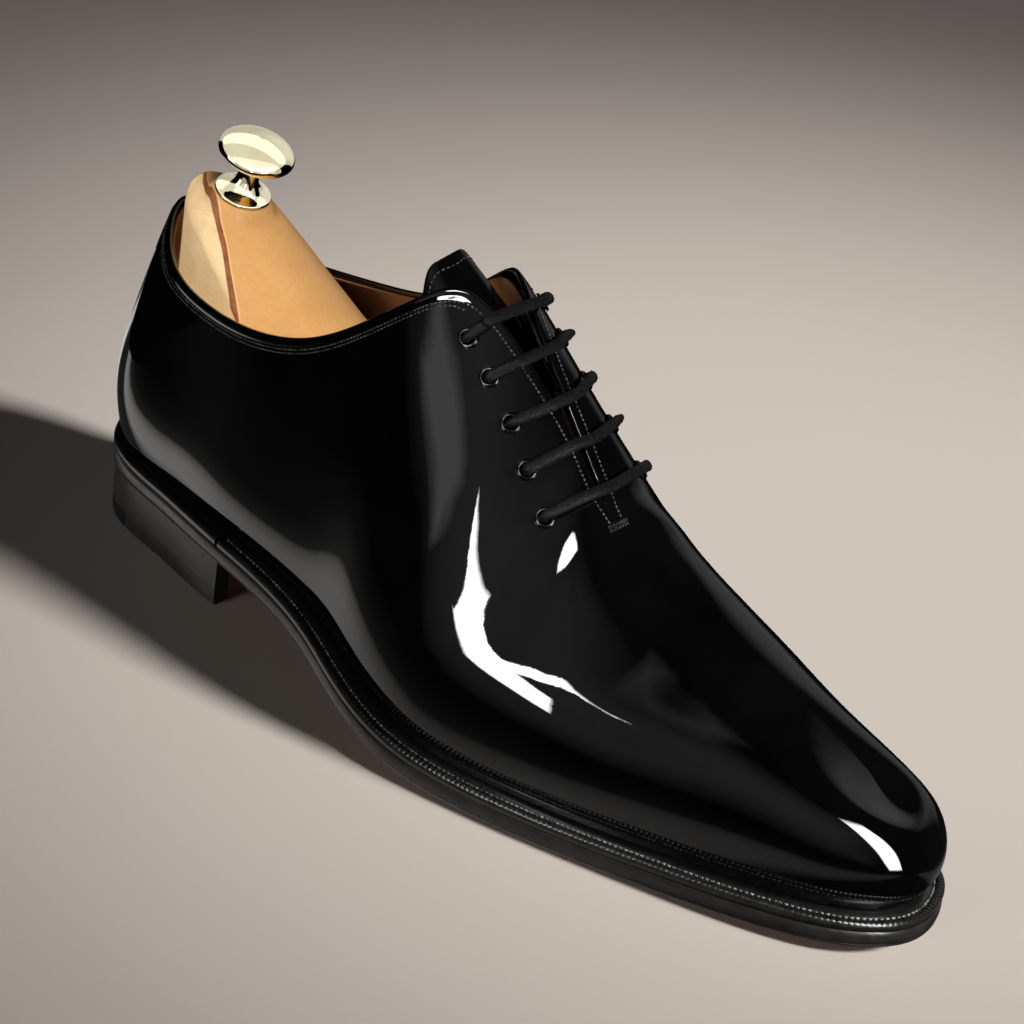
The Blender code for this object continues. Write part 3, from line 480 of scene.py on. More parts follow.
class Look:
    """A material on one Principled shader, with short ways to add procedural nodes."""

    def __init__(self, name, slot):
        self.material = bpy.data.materials.new(name)
        self.material.use_nodes = True
        self.material["slot"] = slot
        self.tree = self.material.node_tree
        self.shader = self.tree.nodes["Principled BSDF"]
        self.place = self.new("ShaderNodeTexCoord").outputs["Object"]

    def new(self, kind, **settings):
        made = self.tree.nodes.new(kind)
        for key, value in settings.items():
            setattr(made, key, value)
        return made

    def link(self, source, target):
        self.tree.links.new(source, target)

    def set(self, **values):
        for key, value in values.items():
            socket = self.shader.inputs[key.replace("_", " ").title().replace("Ior", "IOR")]
            if isinstance(value, bpy.types.NodeSocket):
                self.link(value, socket)
            elif isinstance(value, tuple):
                socket.default_value = (*value, 1.0)
            else:
                socket.default_value = value

    def stretched(self, scale, turn=(0, 0, 0)):
        mapping = self.new("ShaderNodeMapping")
        mapping.inputs["Scale"].default_value = scale
        mapping.inputs["Rotation"].default_value = [radians(a) for a in turn]
        self.link(self.place, mapping.inputs["Vector"])
        return mapping.outputs["Vector"]

    def noise(self, scale, detail=2.0, rough=0.5, bend=0.0, vector=None):
        made = self.new("ShaderNodeTexNoise")
        self.link(vector or self.place, made.inputs["Vector"])
        for key, value in (("Scale", scale), ("Detail", detail), ("Roughness", rough),
                           ("Distortion", bend)):
            made.inputs[key].default_value = value
        return made.outputs["Fac"]

    def cells(self, scale, vector=None):
        made = self.new("ShaderNodeTexVoronoi")
        self.link(vector or self.place, made.inputs["Vector"])
        made.inputs["Scale"].default_value = scale
        return made.outputs["Distance"]

    def ramp(self, source, *stops):
        """Colours or numbers over a 0 to 1 input; each stop is (place, colour or number)."""
        made = self.new("ShaderNodeValToRGB")
        elements = made.color_ramp.elements
        while len(elements) < len(stops):
            elements.new(0.5)
        for element, (place, value) in zip(elements, stops):
            element.position = place
            element.color = (*(value if isinstance(value, tuple) else (value,) * 3), 1.0)
        self.link(source, made.inputs["Fac"])
        return made.outputs["Color"]

    def mix(self, share, first, second, kind="MIX"):
        made = self.new("ShaderNodeMix", data_type="RGBA", blend_type=kind)
        for socket, value in zip((made.inputs[0], made.inputs[6], made.inputs[7]),
                                 (share, first, second)):
            if isinstance(value, bpy.types.NodeSocket):
                self.link(value, socket)
            elif isinstance(value, tuple):
                socket.default_value = (*value, 1.0)
            else:
                socket.default_value = value
        return made.outputs[2]

    def maths(self, kind, first, second):
        made = self.new("ShaderNodeMath", operation=kind)
        for socket, value in zip(made.inputs, (first, second)):
            if isinstance(value, bpy.types.NodeSocket):
                self.link(value, socket)
            else:
                socket.default_value = value
        return made.outputs[0]

    def attribute(self, name):
        made = self.new("ShaderNodeAttribute", attribute_name=name)
        return made.outputs["Fac"]

    def bumps(self, *layers, coat=True):
        """Layers of (height, millimetres deep) on the base and on the coat."""
        normal = None
        for height, depth in layers:
            bump = self.new("ShaderNodeBump")
            bump.inputs["Strength"].default_value = 1.0
            bump.inputs["Distance"].default_value = depth * MM
            self.link(height, bump.inputs["Height"])
            if normal:
                self.link(normal, bump.inputs["Normal"])
            normal = bump.outputs["Normal"]
        self.link(normal, self.shader.inputs["Normal"])
        if coat:
            self.link(normal, self.shader.inputs["Coat Normal"])
        return self.material


def patent_look():
    look = Look("patent_leather", "black_patent")
    cloud = look.noise(35, 3)
    look.set(base_color=look.ramp(cloud, (0.3, (.0010, .0010, .0011)), (0.7, (.0026, .0026, .0028))),
             roughness=look.ramp(look.noise(60, 3), (0.3, .40), (0.7, .52)),
             specular_ior_level=0.0, coat_weight=1.0, coat_roughness=0.018, coat_ior=1.7)
    return look.bumps((look.noise(70, 2), 0.035), (look.noise(420, 3), 0.0035))


def lining_look():
    look = Look("lining_calf", "tan_lining")
    tone = look.noise(45, 4)
    look.set(base_color=look.ramp(tone, (0.3, (.19, .085, .035)), (0.7, (.30, .145, .065))),
             roughness=look.ramp(look.noise(300, 3), (0.3, .45), (0.7, .65)))
    return look.bumps((look.cells(900), 0.05), (look.noise(160, 4), 0.05), coat=False)


def thread_look(name, slot, low, high):
    look = Look(name, slot)
    # low to high spans the base colour; where high is light, its spots are painted glints on black thread.
    look.set(base_color=look.ramp(look.noise(700, 2), (0.35, low), (0.65, high)),
             roughness=look.ramp(look.noise(1500, 2), (0.3, .22), (0.7, .42)), coat_weight=0.5,
             coat_roughness=0.15)
    twist = look.noise(2600, 1, vector=look.stretched((1, 1, 1), (0, 40, 30)))
    return look.bumps((twist, 0.03))


def lace_look():
    look = Look("braided_cotton", "waxed_cotton")
    look.set(base_color=look.ramp(look.noise(1400, 3), (0.3, (.0025, .0025, .0027)),
                                  (0.7, (.010, .010, .011))),
             roughness=look.ramp(look.noise(800, 2), (0.3, .42), (0.7, .6)), specular_ior_level=0.2,
             sheen_weight=0.01, sheen_roughness=0.4)
    return look.bumps((look.noise(3500, 3, 0.7), 0.05), coat=False)


def edge_look(name, slot, low, high, dull=0.30, coat=0.35, shine=0.5):
    """Blackened leather; where the attribute "bare" is 1 it shows its own brown."""
    look = Look(name, slot)
    black = look.ramp(look.noise(220, 5), (0.3, low), (0.7, high))
    brown = look.ramp(look.noise(90, 6, 0.7), (0.3, (.17, .075, .03)), (0.7, (.30, .15, .07)))
    bare = look.ramp(look.attribute("bare"), (0.45, 0.0), (0.55, 1.0))
    look.set(base_color=look.mix(bare, black, brown),
             roughness=look.ramp(look.noise(500, 4), (0.3, dull), (0.7, dull + 0.18)),
             specular_ior_level=shine, coat_weight=coat, coat_roughness=0.14)
    grain = look.noise(500, 5, 0.6, vector=look.stretched((1, 1, 2.5)))
    return look.bumps((grain, 0.06), (look.noise(90, 3), 0.08))


def metal_look(name, slot, tone, roughness, wear=0.06):
    look = Look(name, slot)
    dark = tuple(v * 0.86 for v in tone)
    look.set(base_color=look.ramp(look.noise(120, 4), (0.3, dark), (0.7, tone)), metallic=1.0,
             roughness=look.ramp(look.noise(260, 4), (0.3, roughness), (0.7, roughness + wear)))
    return look.bumps((look.noise(900, 3), 0.002), coat=False)


def board_look(name, slot, low, high, grain=500, depth=0.12):
    look = Look(name, slot)
    look.set(base_color=look.ramp(look.noise(grain, 5, 0.7), (0.25, low), (0.75, high)),
             roughness=look.ramp(look.noise(grain / 2, 3), (0.3, .7), (0.7, .9)))
    return look.bumps((look.noise(grain, 5, 0.7), depth), coat=False)


def wood_grain(look):
    """Long wavering rings of a wood cut along its length."""
    place = look.stretched((7, 40, 22), (0, 28, 4))
    rings = look.noise(4.5, 5, 0.55, 1.2, vector=place)
    fibres = look.noise(22, 6, 0.75, vector=look.stretched((9, 90, 60), (0, 28, 4)))
    return rings, fibres


def pale_wood(look, rings, fibres):
    tone = look.ramp(rings, (0.25, (.86, .64, .36)), (0.5, (.78, .54, .28)), (0.75, (.68, .43, .20)))
    return look.mix(0.35, tone, look.ramp(fibres, (0.3, (.92, .74, .47)), (0.7, (.62, .39, .18))))


def wood_look():
    look = Look("limewood", "limewood")
    rings, fibres = wood_grain(look)
    look.set(base_color=pale_wood(look, rings, fibres),
             roughness=look.ramp(fibres, (0.3, .38), (0.7, .52)), coat_weight=0.15,
             coat_roughness=0.3)
    return look.bumps((fibres, 0.03), (rings, 0.04))


def faced_wood_look():
    """Limewood whose top carries a tan face with a brown line round it, by distance inside it, and painted
    highlights: a thin light line just inside the brown line and a lighter strip along the medial edge.
    """
    look = Look("limewood_with_tan_face", "limewood")
    rings, fibres = wood_grain(look)
    inside = look.attribute("inside")
    spread = look.maths("ADD", look.maths("MULTIPLY", inside, 0.1), 0.5)
    mottle = look.noise(55, 5, 0.6)
    face = look.ramp(mottle, (0.3, (.70, .38, .145)), (0.7, (.60, .30, .10)))
    face = look.mix(0.22, face, look.ramp(fibres, (0.35, (.78, .47, .21)), (0.65, (.48, .22, .07))))
    scuffs = look.ramp(look.noise(28, 6, 0.8, 2.0), (0.62, 0.0), (0.7, 1.0))
    face = look.mix(look.maths("MULTIPLY", scuffs, 0.25), face, (.42, .19, .07))
    brown = look.ramp(look.noise(400, 3), (0.3, (.20, .065, .025)), (0.7, (.32, .12, .05)))
    line = look.ramp(spread, (0.368, 0.0), (0.378, 1.0))
    top = look.ramp(spread, (0.494, 0.0), (0.502, 1.0))
    # Painted highlight: a thin light line just inside the brown line.
    painted_glint = look.ramp(spread, (0.502, 0.0), (0.512, 1.0), (0.535, 1.0), (0.55, 0.0))
    colour = look.mix(line, pale_wood(look, rings, fibres), brown)
    colour = look.mix(top, colour, face)
    colour = look.mix(look.maths("MULTIPLY", painted_glint, 0.55), colour, (.86, .56, .30))
    # Painted highlight: a lighter strip along the tan face's medial edge.
    rim = look.ramp(look.attribute("chamfer"), (0.4, 0.0), (0.6, 1.0))
    colour = look.mix(look.maths("MULTIPLY", rim, 0.7), colour, (.90, .66, .38))
    look.set(base_color=colour, roughness=look.ramp(fibres, (0.3, .34), (0.7, .5)),
             coat_weight=0.2, coat_roughness=0.28)
    return look.bumps((fibres, 0.025), (rings, 0.03), (line, 0.05))


def make_looks():
    steel = metal_look("spring_steel", "spring_steel", (.56, .56, .58), 0.24)
    return {
        "patent": patent_look(), "lining": lining_look(),
        # The lighter noise spots of the waxed thread and the welt thread are painted glints on black
        # thread; the dark thread stays black.
        "thread": thread_look("waxed_thread_painted_glints", "black_thread", (.004, .004, .004), (.10, .10, .10)),
        "dark_thread": thread_look("dark_thread", "black_thread", (.004, .004, .004), (.03, .03, .03)),
        "welt_thread_painted_glints": thread_look("welt_thread_painted_glints", "black_thread", (.02, .02, .02), (.34, .34, .33)),
        "lace": lace_look(), "wood": wood_look(), "faced_wood": faced_wood_look(), "steel": steel,
        "brass": metal_look("polished_brass", "polished_brass", (.88, .80, .54), 0.05, 0.05),
        "eyelet": metal_look("dark_eyelet", "dark_metal", (.10, .10, .105), 0.16, 0.1),
        "welt": edge_look("welt_leather", "welt_leather", (.006, .006, .006), (.016, .015, .015),
                          0.24, 0.6),
        "sole": edge_look("sole_edge", "sole_leather", (.010, .0095, .0095), (.022, .021, .021)),
        "heel": edge_look("heel_stack", "heel_leather", (.016, .0157, .0157), (.025, .0245, .0245),
                          0.26, 0.22, 0.2),
        "rubber": edge_look("rubber", "black_rubber", (.007, .007, .007), (.013, .013, .013),
                            0.5, 0.04, 0.2),
        "insole": board_look("insole_leather", "insole_leather", (.40, .26, .14), (.56, .38, .22)),
        "stiffener": board_look("stiffener_board", "stiffener_board", (.45, .35, .23), (.62, .50, .35)),
        "cork": board_look("cork", "cork", (.22, .12, .06), (.52, .34, .19), 350, 0.3),
    }


# ---------------------------------------------------------------- the upper


UPPER_ROWS = np.concatenate([np.linspace(0, .9, 46), np.linspace(.9, 1, 21)[1:]])
BEAD_WIDTH, BEAD_HIGH = 2.3, 0.3


def lining_depth(t, h):
    ahead = from_heel(t)
    heel = (1 - smooth(ahead, 4.3, 5.2)) * (1 - smooth(h, .58, .72))
    toe = smooth(ahead, 14.1, 15.0)
    stay = smooth(ahead, 6.6, 7.3) * (1 - smooth(ahead, 10.7, 11.3)) * smooth(h, .36, .54)
    most = np.maximum(np.maximum(heel, toe), stay)
    return UPPER_THICK + PLY_GAP + (STIFFENER_THICK + PLY_GAP) * most


def beaded_face(t, h):
    """The outer face, raised into a bead along the topline."""
    spans = np.repeat(edge_span(t[:, 0])[:, None], t.shape[1], 1)
    below = (1 - h) * spans
    bead = 1 - smooth(below, BEAD_WIDTH - 0.5, BEAD_WIDTH)
    return -BEAD_HIGH * bead * (1 - smooth(from_heel(t), 7.6, 8.3))


def seam(start, end, inset, pitch, depth=0.0):
    """Even places along a seam that runs inset below the top edge; inset may vary by station."""
    t = np.linspace(start, end, 500)
    below = inset(t) if callable(inset) else np.full(len(t), float(inset))
    h = 1 - below / edge_span(t)
    places = even_steps(spots(t, h)[0], pitch)
    t, h = rows_at(t, places), rows_at(h, places)
    return spots(t, h, np.full(len(t), depth))


def build_upper(looks):
    t = np.arange(STATIONS * 12) / 12
    upper = skin("upper_patent", t, UPPER_ROWS, beaded_face, lambda t, h: UPPER_THICK + 0 * t,
                 looks["patent"], stands_for=["upper_wholecut"], closed=True, rim=0.62)
    far = lambda t, h: lining_depth(t, h) + LINING_THICK
    rows = np.concatenate([np.linspace(.05, .93, 30), [.95, .965, .975, .985]])
    quarter = skin("quarter_lining_calf", np.arange(-72, 73) / 8, rows, lining_depth, far,
                   looks["lining"], stands_for=["quarter_lining"], rim=0.45)
    vamp = skin("vamp_lining_calf", np.arange(75, 198) / 8, np.linspace(.05, 1, 34), lining_depth,
                far, looks["lining"], stands_for=["vamp_lining"])
    holes = [cylinder(*frame_at(t, h, 0), EYELET_HOLE, -7, 3) for t, h, _ in eyelet_places()]
    for obj in (upper, quarter, vamp):
        cut(obj, holes)
    strip = np.linspace(-.36, .36, 25)
    skin("back_tab", strip, np.linspace(.80, .985, 24), lambda t, h: -0.6 + 0 * t,
         lambda t, h: -0.05 + 0 * t, looks["patent"], stands_for=["back_strip"], rim=0.25)


def build_seams(looks):
    inset = lambda t: 3.1 - 0.9 * smooth(from_heel(t), 7.4, 8.4)
    size = (0.98, 0.50, 0.52)
    stitches("topline_stitching", *seam(-10.93, 10.93, inset, 1.3, -0.02), looks["thread"], size)
    stitches("topline_stitching_lower", *seam(-7.9, 7.9, 4.3, 1.3, -0.02), looks["thread"], size)
    ends = [frame_at(t, 1.0, 0) for t in (11.05, STATIONS - 11.05)]
    normal = unit(ends[0][1] + ends[1][1])
    across = unit(np.cross(normal, (1.0, 0.1, -1.0)))
    along = np.cross(across, normal)
    centre = (ends[0][0] + ends[1][0]) / 2 + normal * 0.25
    offsets = np.linspace(-3.1, 3.1, 15)
    lean = np.where(np.arange(15) % 2, 0.22, -0.22)
    points = centre + across * offsets[:, None]
    face = throat_face()
    sag = np.array([height_over(face, p, normal) for p in points])
    stitches("bar_tack_threads", points + normal * sag[:, None], np.tile(normal, (15, 1)),
             unit(along + across * lean[:, None]), looks["dark_thread"], (2.3, 0.5, 0.42),
             stands_for=["bar_tack"])


def throat_face():
    """Points over the upper's face round the foot of the facings."""
    t, h = np.meshgrid(np.concatenate([np.linspace(10.6, 11.6, 41), np.linspace(22.4, 23.4, 41)]),
                       np.linspace(.9, 1, 41), indexing="ij")
    return spots(t.ravel(), h.ravel())[0]


def height_over(face, point, normal):
    """How far along normal a thread on the face lies from a point near it."""
    away = face - point
    along = away @ normal
    flat = np.linalg.norm(away - along[:, None] * normal, axis=1)
    return along[flat.argmin()] + 0.2


def eyelet_places():
    """Station, height share and name of each eyelet."""
    for row, (station, h) in enumerate(EYELETS):
        for t, side in ((station, "lateral"), (STATIONS - station, "medial")):
            yield t, h, "eyelet_%s_%d" % (side, row + 1)


def build_eyelets(looks):
    profile = [(1.55, .1), (1.62, .5), (1.85, .82), (2.15, .93), (2.45, .85), (2.72, .6), (2.85, .25),
               (2.88, .05), (2.2, .05), (2.15, -.3), (2.15, -4.9), (1.6, -4.9), (1.55, -4)]
    for t, h, name in eyelet_places():
        centre, axis = frame_at(t, h, -0.1)
        lathe(name + "_ring", profile, centre, axis, looks["eyelet"], stands_for=[name], steps=48)


# ---------------------------------------------------------------- tongue and lace


def tongue_line(t, extra):
    """The tongue's section at a station, from the lateral side over to the medial side."""
    rows = (.66, .77, .86, .93)
    sides = [[frame_at(at, h, TONGUE_DEPTH + extra) for h in rows] for at in (t, STATIONS - t)]
    (near, near_up), (far, far_up) = sides[0][-1], sides[1][-1]
    up = unit(near_up + far_up)
    crest = (near + far) / 2 + up * 0.12 * np.linalg.norm(far - near)
    return [p for p, _ in sides[0]] + [crest] + [p for p, _ in sides[1][::-1]]


def tongue_face(extra, reach):
    """Rows of points over the tongue, from its free end forward under the facings."""
    stations = (8.35, 8.7, 9.1, 9.5, 10.0, 10.5, 11.0)
    lines = np.array([curve_through(tongue_line(t, extra), TONGUE_COLUMNS) for t in stations])
    first = lines[0]
    rise = unit(first.mean(axis=0) - lines[1].mean(axis=0))
    middle = first.mean(axis=0)
    ends = []
    for step in np.linspace(1, 0, 14)[:-1]:
        corner = np.linspace(-1, 1, TONGUE_COLUMNS)[:, None] ** 6
        grown = first + rise * (step * (reach - 5 * corner * step))
        grown[:, 1] = (grown[:, 1] - middle[1]) * (1 - 0.17 * step**2) + middle[1]
        ends.append(grown)
    lines = np.concatenate([ends, lines])
    columns = [curve_through(lines[:, k], 90) for k in range(TONGUE_COLUMNS)]
    return np.array(columns).transpose(1, 0, 2)


def build_tongue(looks):
    for name, node, extra, thick, reach, look in (
            ("tongue_patent", "tongue", 0.0, 1.5, TONGUE_REACH, "patent"),
            ("tongue_lining_calf", "tongue_lining", 2.1, 0.8, TONGUE_REACH - 1.2, "lining")):
        top, low = tongue_face(extra, reach), tongue_face(extra + thick, reach)
        middle = (top + low) / 2
        sections = []
        for upper_line, mid, lower_line in zip(top, middle, low):
            left = mid[:1] + unit(mid[:1] - mid[1:2]) * thick * 0.4
            right = mid[-1:] + unit(mid[-1:] - mid[-2:-1]) * thick * 0.4
            sections.append(np.vstack([upper_line, right, lower_line[::-1], left]))
        tip = sections[0] * 0.5 + np.vstack([middle[0], middle[0][-1:], middle[0][::-1],
                                             middle[0][:1]]) * 0.5
        outward = unit(top[0].mean(axis=0) - top[2].mean(axis=0)) * thick * 0.4
        points, faces = loft(np.array([tip + outward, *sections]))
        piece(name, points, faces, looks[look], "shoe", [node], sharp=50)
    face = tongue_face(0, TONGUE_REACH)
    row = face[5][3:-3]
    places = even_steps(row, 1.5)
    points = rows_at(row, places)
    along = unit(np.gradient(points, axis=0))
    back = unit(rows_at(face[5][3:-3] - face[7][3:-3], places))
    out = unit(np.cross(along, back))
    out *= np.sign(out[:, 2:].mean())
    stitches("tongue_stitching", points + out * 0.05, out, along, looks["thread"], (1.05, .42, .36))


def lace_route():
    """The lace's centre line: a tucked end, five bars over the facings, and a tucked end. With each
    point goes the outward direction of the upper there."""
    over, under = -2.6, 5.9
    inner = lambda side, t: t if side == 0 else STATIONS - t
    route = []
    side = 0
    tail_t, tail_h = EYELETS[-1]
    for share in (0.34, 0.17):
        route.append(frame_at(tail_t + share, tail_h - share * .04, under))
    for row in range(len(EYELETS) - 1, -1, -1):
        t, h = EYELETS[row]
        edge = BAR_EDGES[row]
        for depth in (under, 3.2, .4, over):
            route.append(frame_at(inner(side, t), h, depth))
        for share in (.3, .65, .95):
            route.append(frame_at(inner(side, t + (edge - t) * share), h + (1 - h) * share, over))
        side = 1 - side
        for share in (.95, .65, .3):
            route.append(frame_at(inner(side, t + (edge - t) * share), h + (1 - h) * share, over))
        for depth in (over, .4, 3.2, under):
            route.append(frame_at(inner(side, t), h, depth))
        if row:
            to_t, to_h = EYELETS[row - 1]
            for share in (.33, .67):
                route.append(frame_at(inner(side, t + (to_t - t) * share), h + (to_h - h) * share,
                                      under))
    t, h = EYELETS[0]
    for drop in (.035, .07):
        route.append(frame_at(inner(side, t), h - drop, under + .4))
    return np.array([p for p, _ in route]), np.array([out for _, out in route])


def build_lace(looks):
    route, outward = lace_route()
    fine = curve_through(route, 4000)
    places = even_steps(fine, LACE_STEP)
    line, up = rows_at(fine, places), rows_at(curve_through(outward, 4000), places)
    tangent = unit(np.gradient(line, axis=0))
    flat = np.zeros_like(line)
    flat[0] = unit(np.cross(tangent[0], np.cross(up[0], tangent[0])))
    for k in range(1, len(line)):
        kept = flat[k - 1] - tangent[k] * (flat[k - 1] @ tangent[k])
        level = up[k] - tangent[k] * (up[k] @ tangent[k])
        kept = kept + 0.12 * level * np.linalg.norm(level) * (1 if kept @ level >= 0 else -1)
        flat[k] = unit(kept)
    side = np.cross(tangent, flat)
    around = np.arange(40) * 2 * pi / 40
    along = (np.arange(len(line)) * LACE_STEP)[:, None]
    plait = np.cos(10 * around + along * 2.6) + np.cos(10 * around - along * 2.6)
    swell = 1 + 0.035 * plait
    wide, high = LACE_WIDE / 2 * swell * np.cos(around), LACE_HIGH / 2 * swell * np.sin(around)
    tube = line[:, None] + side[:, None] * wide[..., None] + flat[:, None] * high[..., None]
    points, faces = loft(tube)
    piece("lace_braid", points, faces, looks["lace"], "shoe", ["lace"], sharp=80)


# ---------------------------------------------------------------- sole and heel


def sole_line(t, inset=0.0):
    line = round_spline(SOLE, t)
    along = round_spline(SOLE, t + 0.02) - round_spline(SOLE, t - 0.02)
    out = unit(np.stack([along[:, 1], -along[:, 0]], -1))
    return line - out * inset, out


def band(name, start, end, count, profile, look, node, closed=False):
    """A strip along the sole's edge. profile is a closed loop of (inset, height over the outsole's
    underside, how much of the wheel's ridges it takes)."""
    t = np.linspace(start, end, count, endpoint=not closed)
    line, out = sole_line(t)
    walked = np.concatenate([[0], np.cumsum(np.linalg.norm(np.diff(line, axis=0), axis=1))])
    ridge = np.abs(np.sin(pi * walked / WHEEL_PITCH)) ** 0.7
    loops = []
    for inset, high, share in profile:
        spot = line - out * inset
        z = sole_z(spot[:, 0]) + high - WHEEL_DEEP * share * (1 - ridge)
        loops.append(np.column_stack([spot, z]))
    points, faces = loft(np.array(loops).transpose(1, 0, 2), closed)
    return piece(name, points, faces, look, "shoe", [node], sharp=50)


def build_welt(looks):
    low = OUTSOLE_THICK + GAP
    welt = [(9.5, low, 0), (.5, low, 0), (.1, low + .15, 0), (-.05, low + .7, 0), (-.1, low + 1.2, 0),
            (.0, low + 1.8, .3), (.25, EDGE - .25, .8), (.6, EDGE - .05, 1), (1.1, EDGE, 1),
            (1.7, EDGE - .02, 1), (2.2, EDGE - .12, .7), (2.5, EDGE - .4, 0), (2.9, EDGE - .5, 0),
            (3.3, EDGE - .35, 0), (3.7, EDGE - .1, 0), (4.6, EDGE, 0), (9.5, EDGE, 0)]
    band("welt_strip", 4.3, 29.7, 2600, welt, looks["welt"], "welt")
    rand = [(8.0, low, 0), (.5, low, 0), (.1, low + .15, 0), (-.1, low + .9, 0), (-.1, low + 1.6, 0),
            (.1, EDGE - .3, 0), (.5, EDGE - .05, 0), (1.2, EDGE, 0), (8.0, EDGE, 0)]
    band("heel_rand_strip", -4.25, 4.25, 300, rand, looks["welt"], "heel_rand")
    t = np.linspace(4.35, 29.65, 3000)
    line, out = sole_line(t, 2.9)
    places = even_steps(line, WHEEL_PITCH)
    line, out = rows_at(line, places), rows_at(out, places)
    points = np.column_stack([line, sole_z(line[:, 0]) + EDGE - 0.30])
    along = unit(np.gradient(points, axis=0))
    up = unit(np.cross(along, np.column_stack([out, 0 * out[:, 0]])))
    up *= np.sign(up[:, 2:])
    stitches("welt_stitching", points, up, along, looks["welt_thread_painted_glints"], (1.2, .62, .56))


def build_outsole(looks):
    t = np.linspace(0, STATIONS, 680, endpoint=False)
    rings = [(3.0, 0), (0.9, 0), (.45, .12), (.2, .45), (.12, .75), (.3, .85), (.12, 1.0), (0, 1.3),
             (-.08, 2.4), (0, 3.7), (.1, 4.2), (.35, OUTSOLE_THICK), (3.0, OUTSOLE_THICK)]
    points = []
    for inset, high in rings:
        line, _ = sole_line(t, inset)
        points.append(np.column_stack([line, sole_z(line[:, 0]) + high]))
    faces = loft(points)[1][:-2]
    half, count = len(t) // 2, len(t)
    for layer in (0, (len(rings) - 1) * count):
        for i in range(half - 1):
            quad = [i, i + 1, (count - i - 1) % count, (count - i) % count]
            faces.append([layer + v for v in (quad if i else quad[:3])])
        faces.append([layer + half - 1, layer + half, layer + half + 1])
    under = np.zeros((len(rings), count))
    under[:3] = 1
    piece("outsole_leather", np.vstack(points), faces, looks["sole"], "shoe", ["outsole"],
          attributes={"bare": under.ravel()})


def sole_sides(inset, start, end, count):
    """Two lines at an inset from the sole's edge, lateral then medial, over a range of x."""
    sides = []
    for t in (np.linspace(0, HALF, 900), np.linspace(STATIONS, HALF, 900)):
        line, _ = sole_line(t, inset)
        first, last = line[:, 0].argmin(), line[:, 0].argmax()
        line = line[first:last + 1]
        low, high = max(start, line[0, 0]), min(end, line[-1, 0])
        bend = (1 - np.cos(np.linspace(0, pi, count))) / 2
        at = low + (high - low) * bend
        sides.append(np.column_stack([at, np.interp(at, line[:, 0], line[:, 1])]))
    return sides


def block(name, start, end, rings, look, node, hollow=0.0, bare_front=False):
    """A block with the sole's plan between two x. rings are (inset, height as a function of x)
    from the bottom up; hollow is how far the front face curves in."""
    loops = []
    across = np.linspace(0, 1, 16)[1:-1, None]
    count = 90  # points along each side
    for inset, height in rings:
        lateral, medial = sole_sides(inset, start, end, count)
        front = lateral[-1] * (1 - across) + medial[-1] * across
        front[:, 0] -= hollow * (1 - (2 * across[:, 0] - 1) ** 2)
        line = np.vstack([lateral, front, medial[::-1]])
        if start > 0:
            line = np.vstack([line, medial[0] * (1 - across) + lateral[0] * across])
        loops.append(np.column_stack([line, height(line[:, 0]) + 0 * line[:, 0]]))
    loops = np.array(loops)
    bare = np.zeros(loops.shape[:2])
    if bare_front:
        bare[:, count + 1:count + len(across)] = 1
    points, faces = loft(loops)
    piece(name, points, faces, look, "shoe", [node], attributes={"bare": bare.ravel()})


def build_heel(looks):
    top = TOP_PIECE_THICK
    level = lambda z: (lambda x, z=z: z)
    for k in range(LIFTS):
        low = lambda x, k=k: top + (sole_z(x) - 0.05 - top) * k / LIFTS
        high = lambda x, k=k: top + (sole_z(x) - 0.05 - top) * (k + 1) / LIFTS
        block("heel_stack_%d" % (k + 1), 0, BREAST_X, [(1.1, low), (1.1, high)], looks["heel"],
              "heel_lift_%d" % (k + 1), HEEL_HOLLOW, True)
    worn = [(1.7, level(0)), (1.35, level(.25)), (1.25, level(.55)), (1.15, level(.8)),
            (1.1, level(top - .1)), (1.2, level(top))]
    block("heel_top_leather", 24.3, BREAST_X, worn, looks["heel"], "heel_top_piece", HEEL_HOLLOW,
          True)
    block("heel_tip_rubber", 0, 24, worn, looks["rubber"], "heel_rubber_tip")


def build_inside(looks):
    on_sole = lambda high: (lambda x: sole_z(x) + high)
    rings = [(12.7, on_sole(10.5)), (12.5, on_sole(10.7)), (12.5, on_sole(11.1)),
             (12.9, on_sole(11.3))]
    block("sock_leather", 0, 400, rings, looks["lining"], "sock_liner")


# ---------------------------------------------------------------- the tree


def tree_top(x, y):
    """Height of the tree's domed top behind the hinge."""
    ridge = np.interp(x, [14, 19, 34, 53, 72, 95, 110, 118],
                      [105.5, 107.5, 106.5, 97, 88, 79, 73, 70])
    return ridge - 0.03 * y * y * smooth(130 - x, 0, 25)


def knob_foot():
    return KNOB_X, 0, tree_top(KNOB_X, 0) + 0.9


def tree_face_inside(x, y):
    """Millimetres inside the tan face's outline, negative outside it."""
    lateral = np.interp(x, [18.5, 22, 27, 34, 43, 49, 59, 66],
                        [0.5, -2.8, -5.8, -9, -12.6, -15.6, -20, -23])
    medial = np.interp(x, [18.5, 21, 25, 30, 34], [0.5, 5, 10, 15, 19])
    side = np.minimum((y - lateral) * 0.9, (medial - y) * 0.8)
    return np.minimum(side, (x - 18.5) * 1.2)


